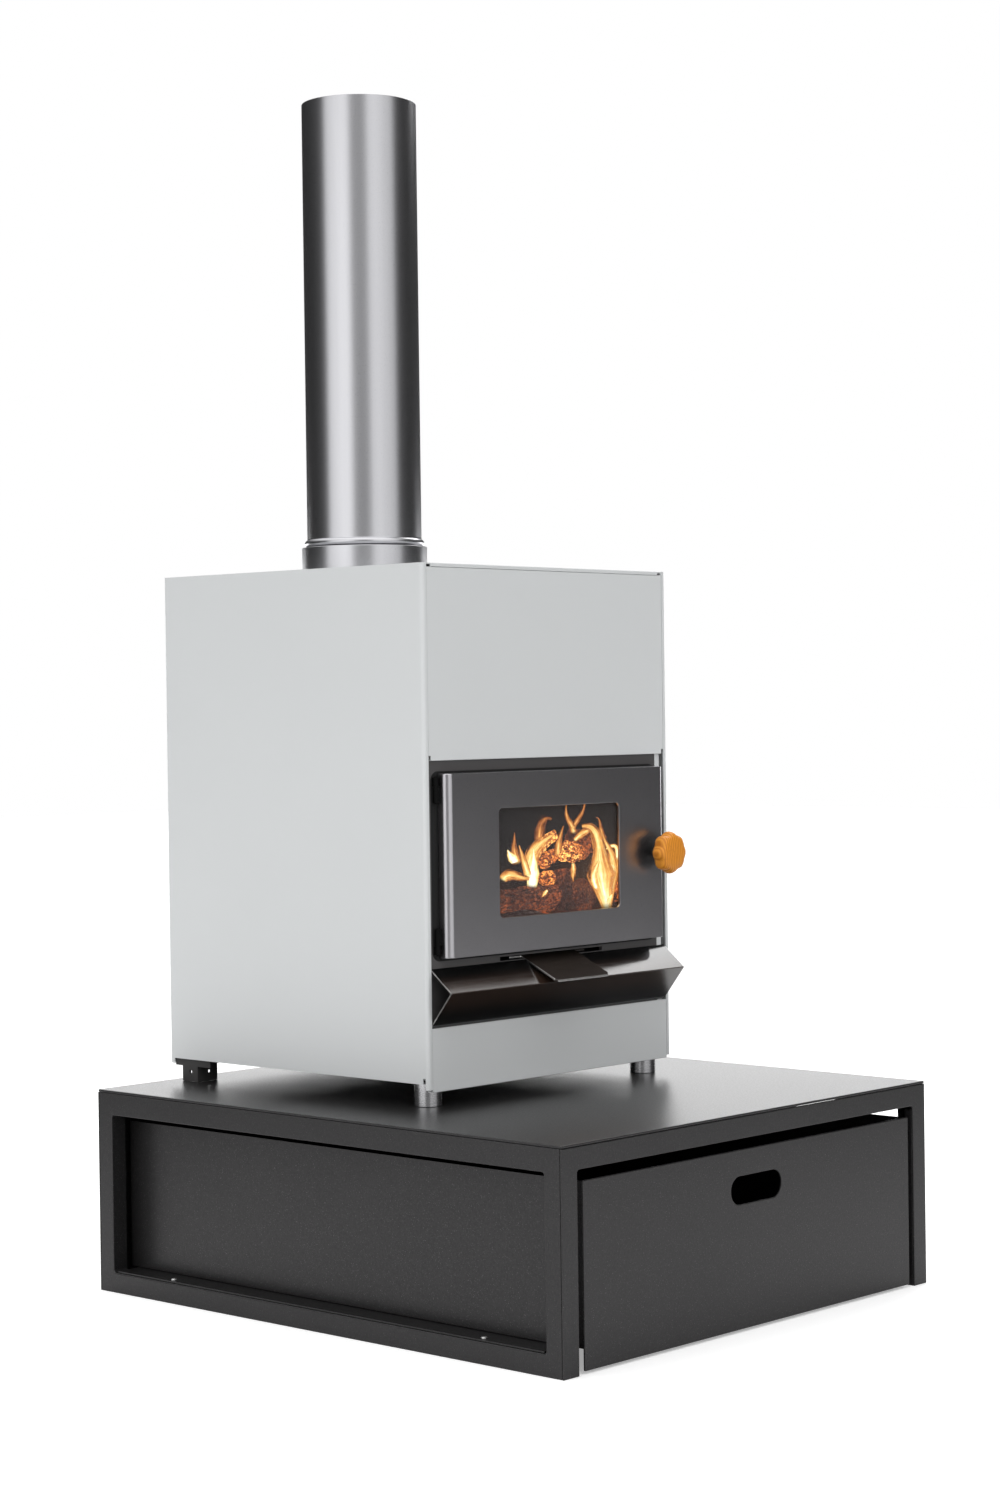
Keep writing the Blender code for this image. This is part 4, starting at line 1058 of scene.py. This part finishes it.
rings += [door_ring(-3.0, 542.25, (198.5, 107.25), 0.5), door_ring(2.2, 542.25, (198.5, 107.25), 0.5)]
piece("door_casting", skin(np.array(rings), closed=True), door_coat, "door", ["door_plate"])

# partly haze on the glass and partly painted reflection: a grey veil at one fifth opacity lightens the
# view of the fire
glass = Finish("smoked_heat_glass", Roughness=0.03, IOR=1.5, Alpha=0.20)
haze_and_painted_reflection = glass.noise(18.0, 3.0)
glass.set(Base_Color=glass.mix(haze_and_painted_reflection, (0.120, 0.120, 0.124), (0.145, 0.143, 0.145)))
coat(glass, "door_glass")

rope = Finish("glass_fibre_rope", Roughness=0.95)
strand = rope.node("UVMap", None, "UV")
slanting = {"wave_type": "BANDS", "bands_direction": "DIAGONAL"}
weave = rope.node("TexWave", slanting, "Fac", Vector=strand, Scale=1.0, Distortion=0.6)
rope.set(
    Base_Color=rope.mix(weave, (0.09, 0.09, 0.088), (0.22, 0.22, 0.21)),
    Normal=rope.bump(weave, 0.0004),
)
path = door_ring(-4.0, 542.0, (164.0, 88.5), 8.0, 10)
closed_path = np.vstack((path, path[:1]))
lengths = np.concatenate(([0.0], np.cumsum(np.linalg.norm(np.diff(closed_path, axis=0), axis=1))))
runs = np.linspace(0.0, lengths[-1], 640, endpoint=False)
line = np.stack([np.interp(runs, lengths, closed_path[:, k]) for k in range(3)], -1)
tangent = unit(np.roll(line, -1, 0) - np.roll(line, 1, 0))
outwards = np.cross(tangent, (0.0, 1.0, 0.0))
turn = np.linspace(0.0, 2 * math.pi, 20, endpoint=False)
strands = runs[:, None] / runs[-1] * 2 * math.pi * 150
half_turns = 1.5 * turn[None, :]
crossing = np.abs(np.sin(half_turns + strands / 2) * np.cos(half_turns - strands / 2))
plait = 1.0 - 0.07 * (1 - crossing)
rings = line[:, None, :] + plait[..., None] * (
    outwards[:, None, :] * (4.4 * MM * np.cos(turn))[None, :, None]
    + np.array((0.0, 1.0, 0.0)) * (6.6 * MM * np.sin(turn))[None, :, None]
)
seal = piece("door_rope", skin(rings, closed=True), rope, "door", ["door_rope_seal"], flat=False)
lay_uv(seal, np.repeat(runs * 120, 20), np.tile(turn, 640))

gasket = Finish("woven_gasket_tape", Roughness=0.95)
thread = gasket.node("TexWave", slanting, "Fac", Vector=gasket.place(), Scale=400.0)
gasket.set(
    Base_Color=gasket.mix(thread, (0.05, 0.05, 0.05), (0.14, 0.14, 0.14)),
    Normal=gasket.bump(thread, 0.0002),
)
coat(gasket, "glass_gasket")

# ---------------------------------------------------------------------------
# Knob: turned in one piece of honey-coloured wood, with eight finger hollows round
# its edge, varnished satin, and its back painted near black as painted shade.

wood = Finish("varnished_wood", IOR=1.4, Coat_Roughness=0.25, Coat_Weight=0.08)
along_grain = wood.node(
    "Mapping", None, None, Vector=wood.place(), Scale=(1.0, 0.25, 0.32), Rotation=(0.1, 0.25, 0.0)
)
rings_wave = wood.node(
    "TexWave",
    {"wave_type": "BANDS", "bands_direction": "X"},
    "Fac",
    Vector=along_grain,
    Scale=95.0,
    Distortion=3.5,
    Detail=2.0,
    Detail_Scale=1.2,
)
pores = wood.noise(700.0, 3.0, 0.6, along_grain)
timber = wood.mix(rings_wave, (0.58, 0.19, 0.012), (0.80, 0.315, 0.028))
timber = wood.mix(pores.step(0.55, 0.8) * 0.5, timber, (0.36, 0.095, 0.006))
# painted shade: the back of the knob is coloured near black so that its reflection in the door reads as a
# dark shadow
painted_dark_back = wood.node("SeparateXYZ", None, "Y", Vector=wood.place()).step(front(-31.0), front(-27.5))
wood.set(
    Base_Color=wood.mix(painted_dark_back, timber, (0.012, 0.007, 0.004)),
    Roughness=pores * 0.2 + 0.42,
    Normal=wood.bump(pores, 0.0001),
)
knob_x, knob_z = 0.185, 0.542
share = np.linspace(0.0, 1.0, 30)
shoulder = np.interp(
    share,
    (0.0, 0.05, 0.16, 0.30, 0.48, 0.66, 0.82, 0.93, 0.985, 1.0),
    (0.66, 0.80, 0.91, 0.975, 1.0, 0.985, 0.925, 0.82, 0.66, 0.50),
)
hollow = np.interp(share, (0.0, 0.10, 0.30, 0.50, 0.80, 0.95, 1.0), (0.4, 1.6, 3.0, 3.3, 2.6, 1.0, 0.2))
turn = np.linspace(0.0, 2 * math.pi, 192, endpoint=False)
lobe = (0.5 + 0.5 * np.cos(8 * turn)) ** 0.7
radius = 27.0 * shoulder[:, None] - hollow[:, None] * (1 - lobe[None, :])
depth = np.repeat((-24.0 - 22.0 * share)[:, None], 192, axis=1)
bore = np.array([(5.3, -35.5), (5.3, -24.2), (5.6, -24.0), (12.0, -24.0)])
face = np.array([(9.0, -46.0), (3.0, -46.0)])
radius = np.concatenate((np.repeat(bore[:, :1], 192, 1), radius, np.repeat(face[:, :1], 192, 1)))
depth = np.concatenate((np.repeat(bore[:, 1:], 192, 1), depth, np.repeat(face[:, 1:], 192, 1)))
rings = np.stack(
    (knob_x + radius * MM * np.cos(turn), front(0) + depth * MM, knob_z + radius * MM * np.sin(turn)), -1
)
piece("turned_knob", skin(rings), wood, "latch", ["door_knob"], flat=False)
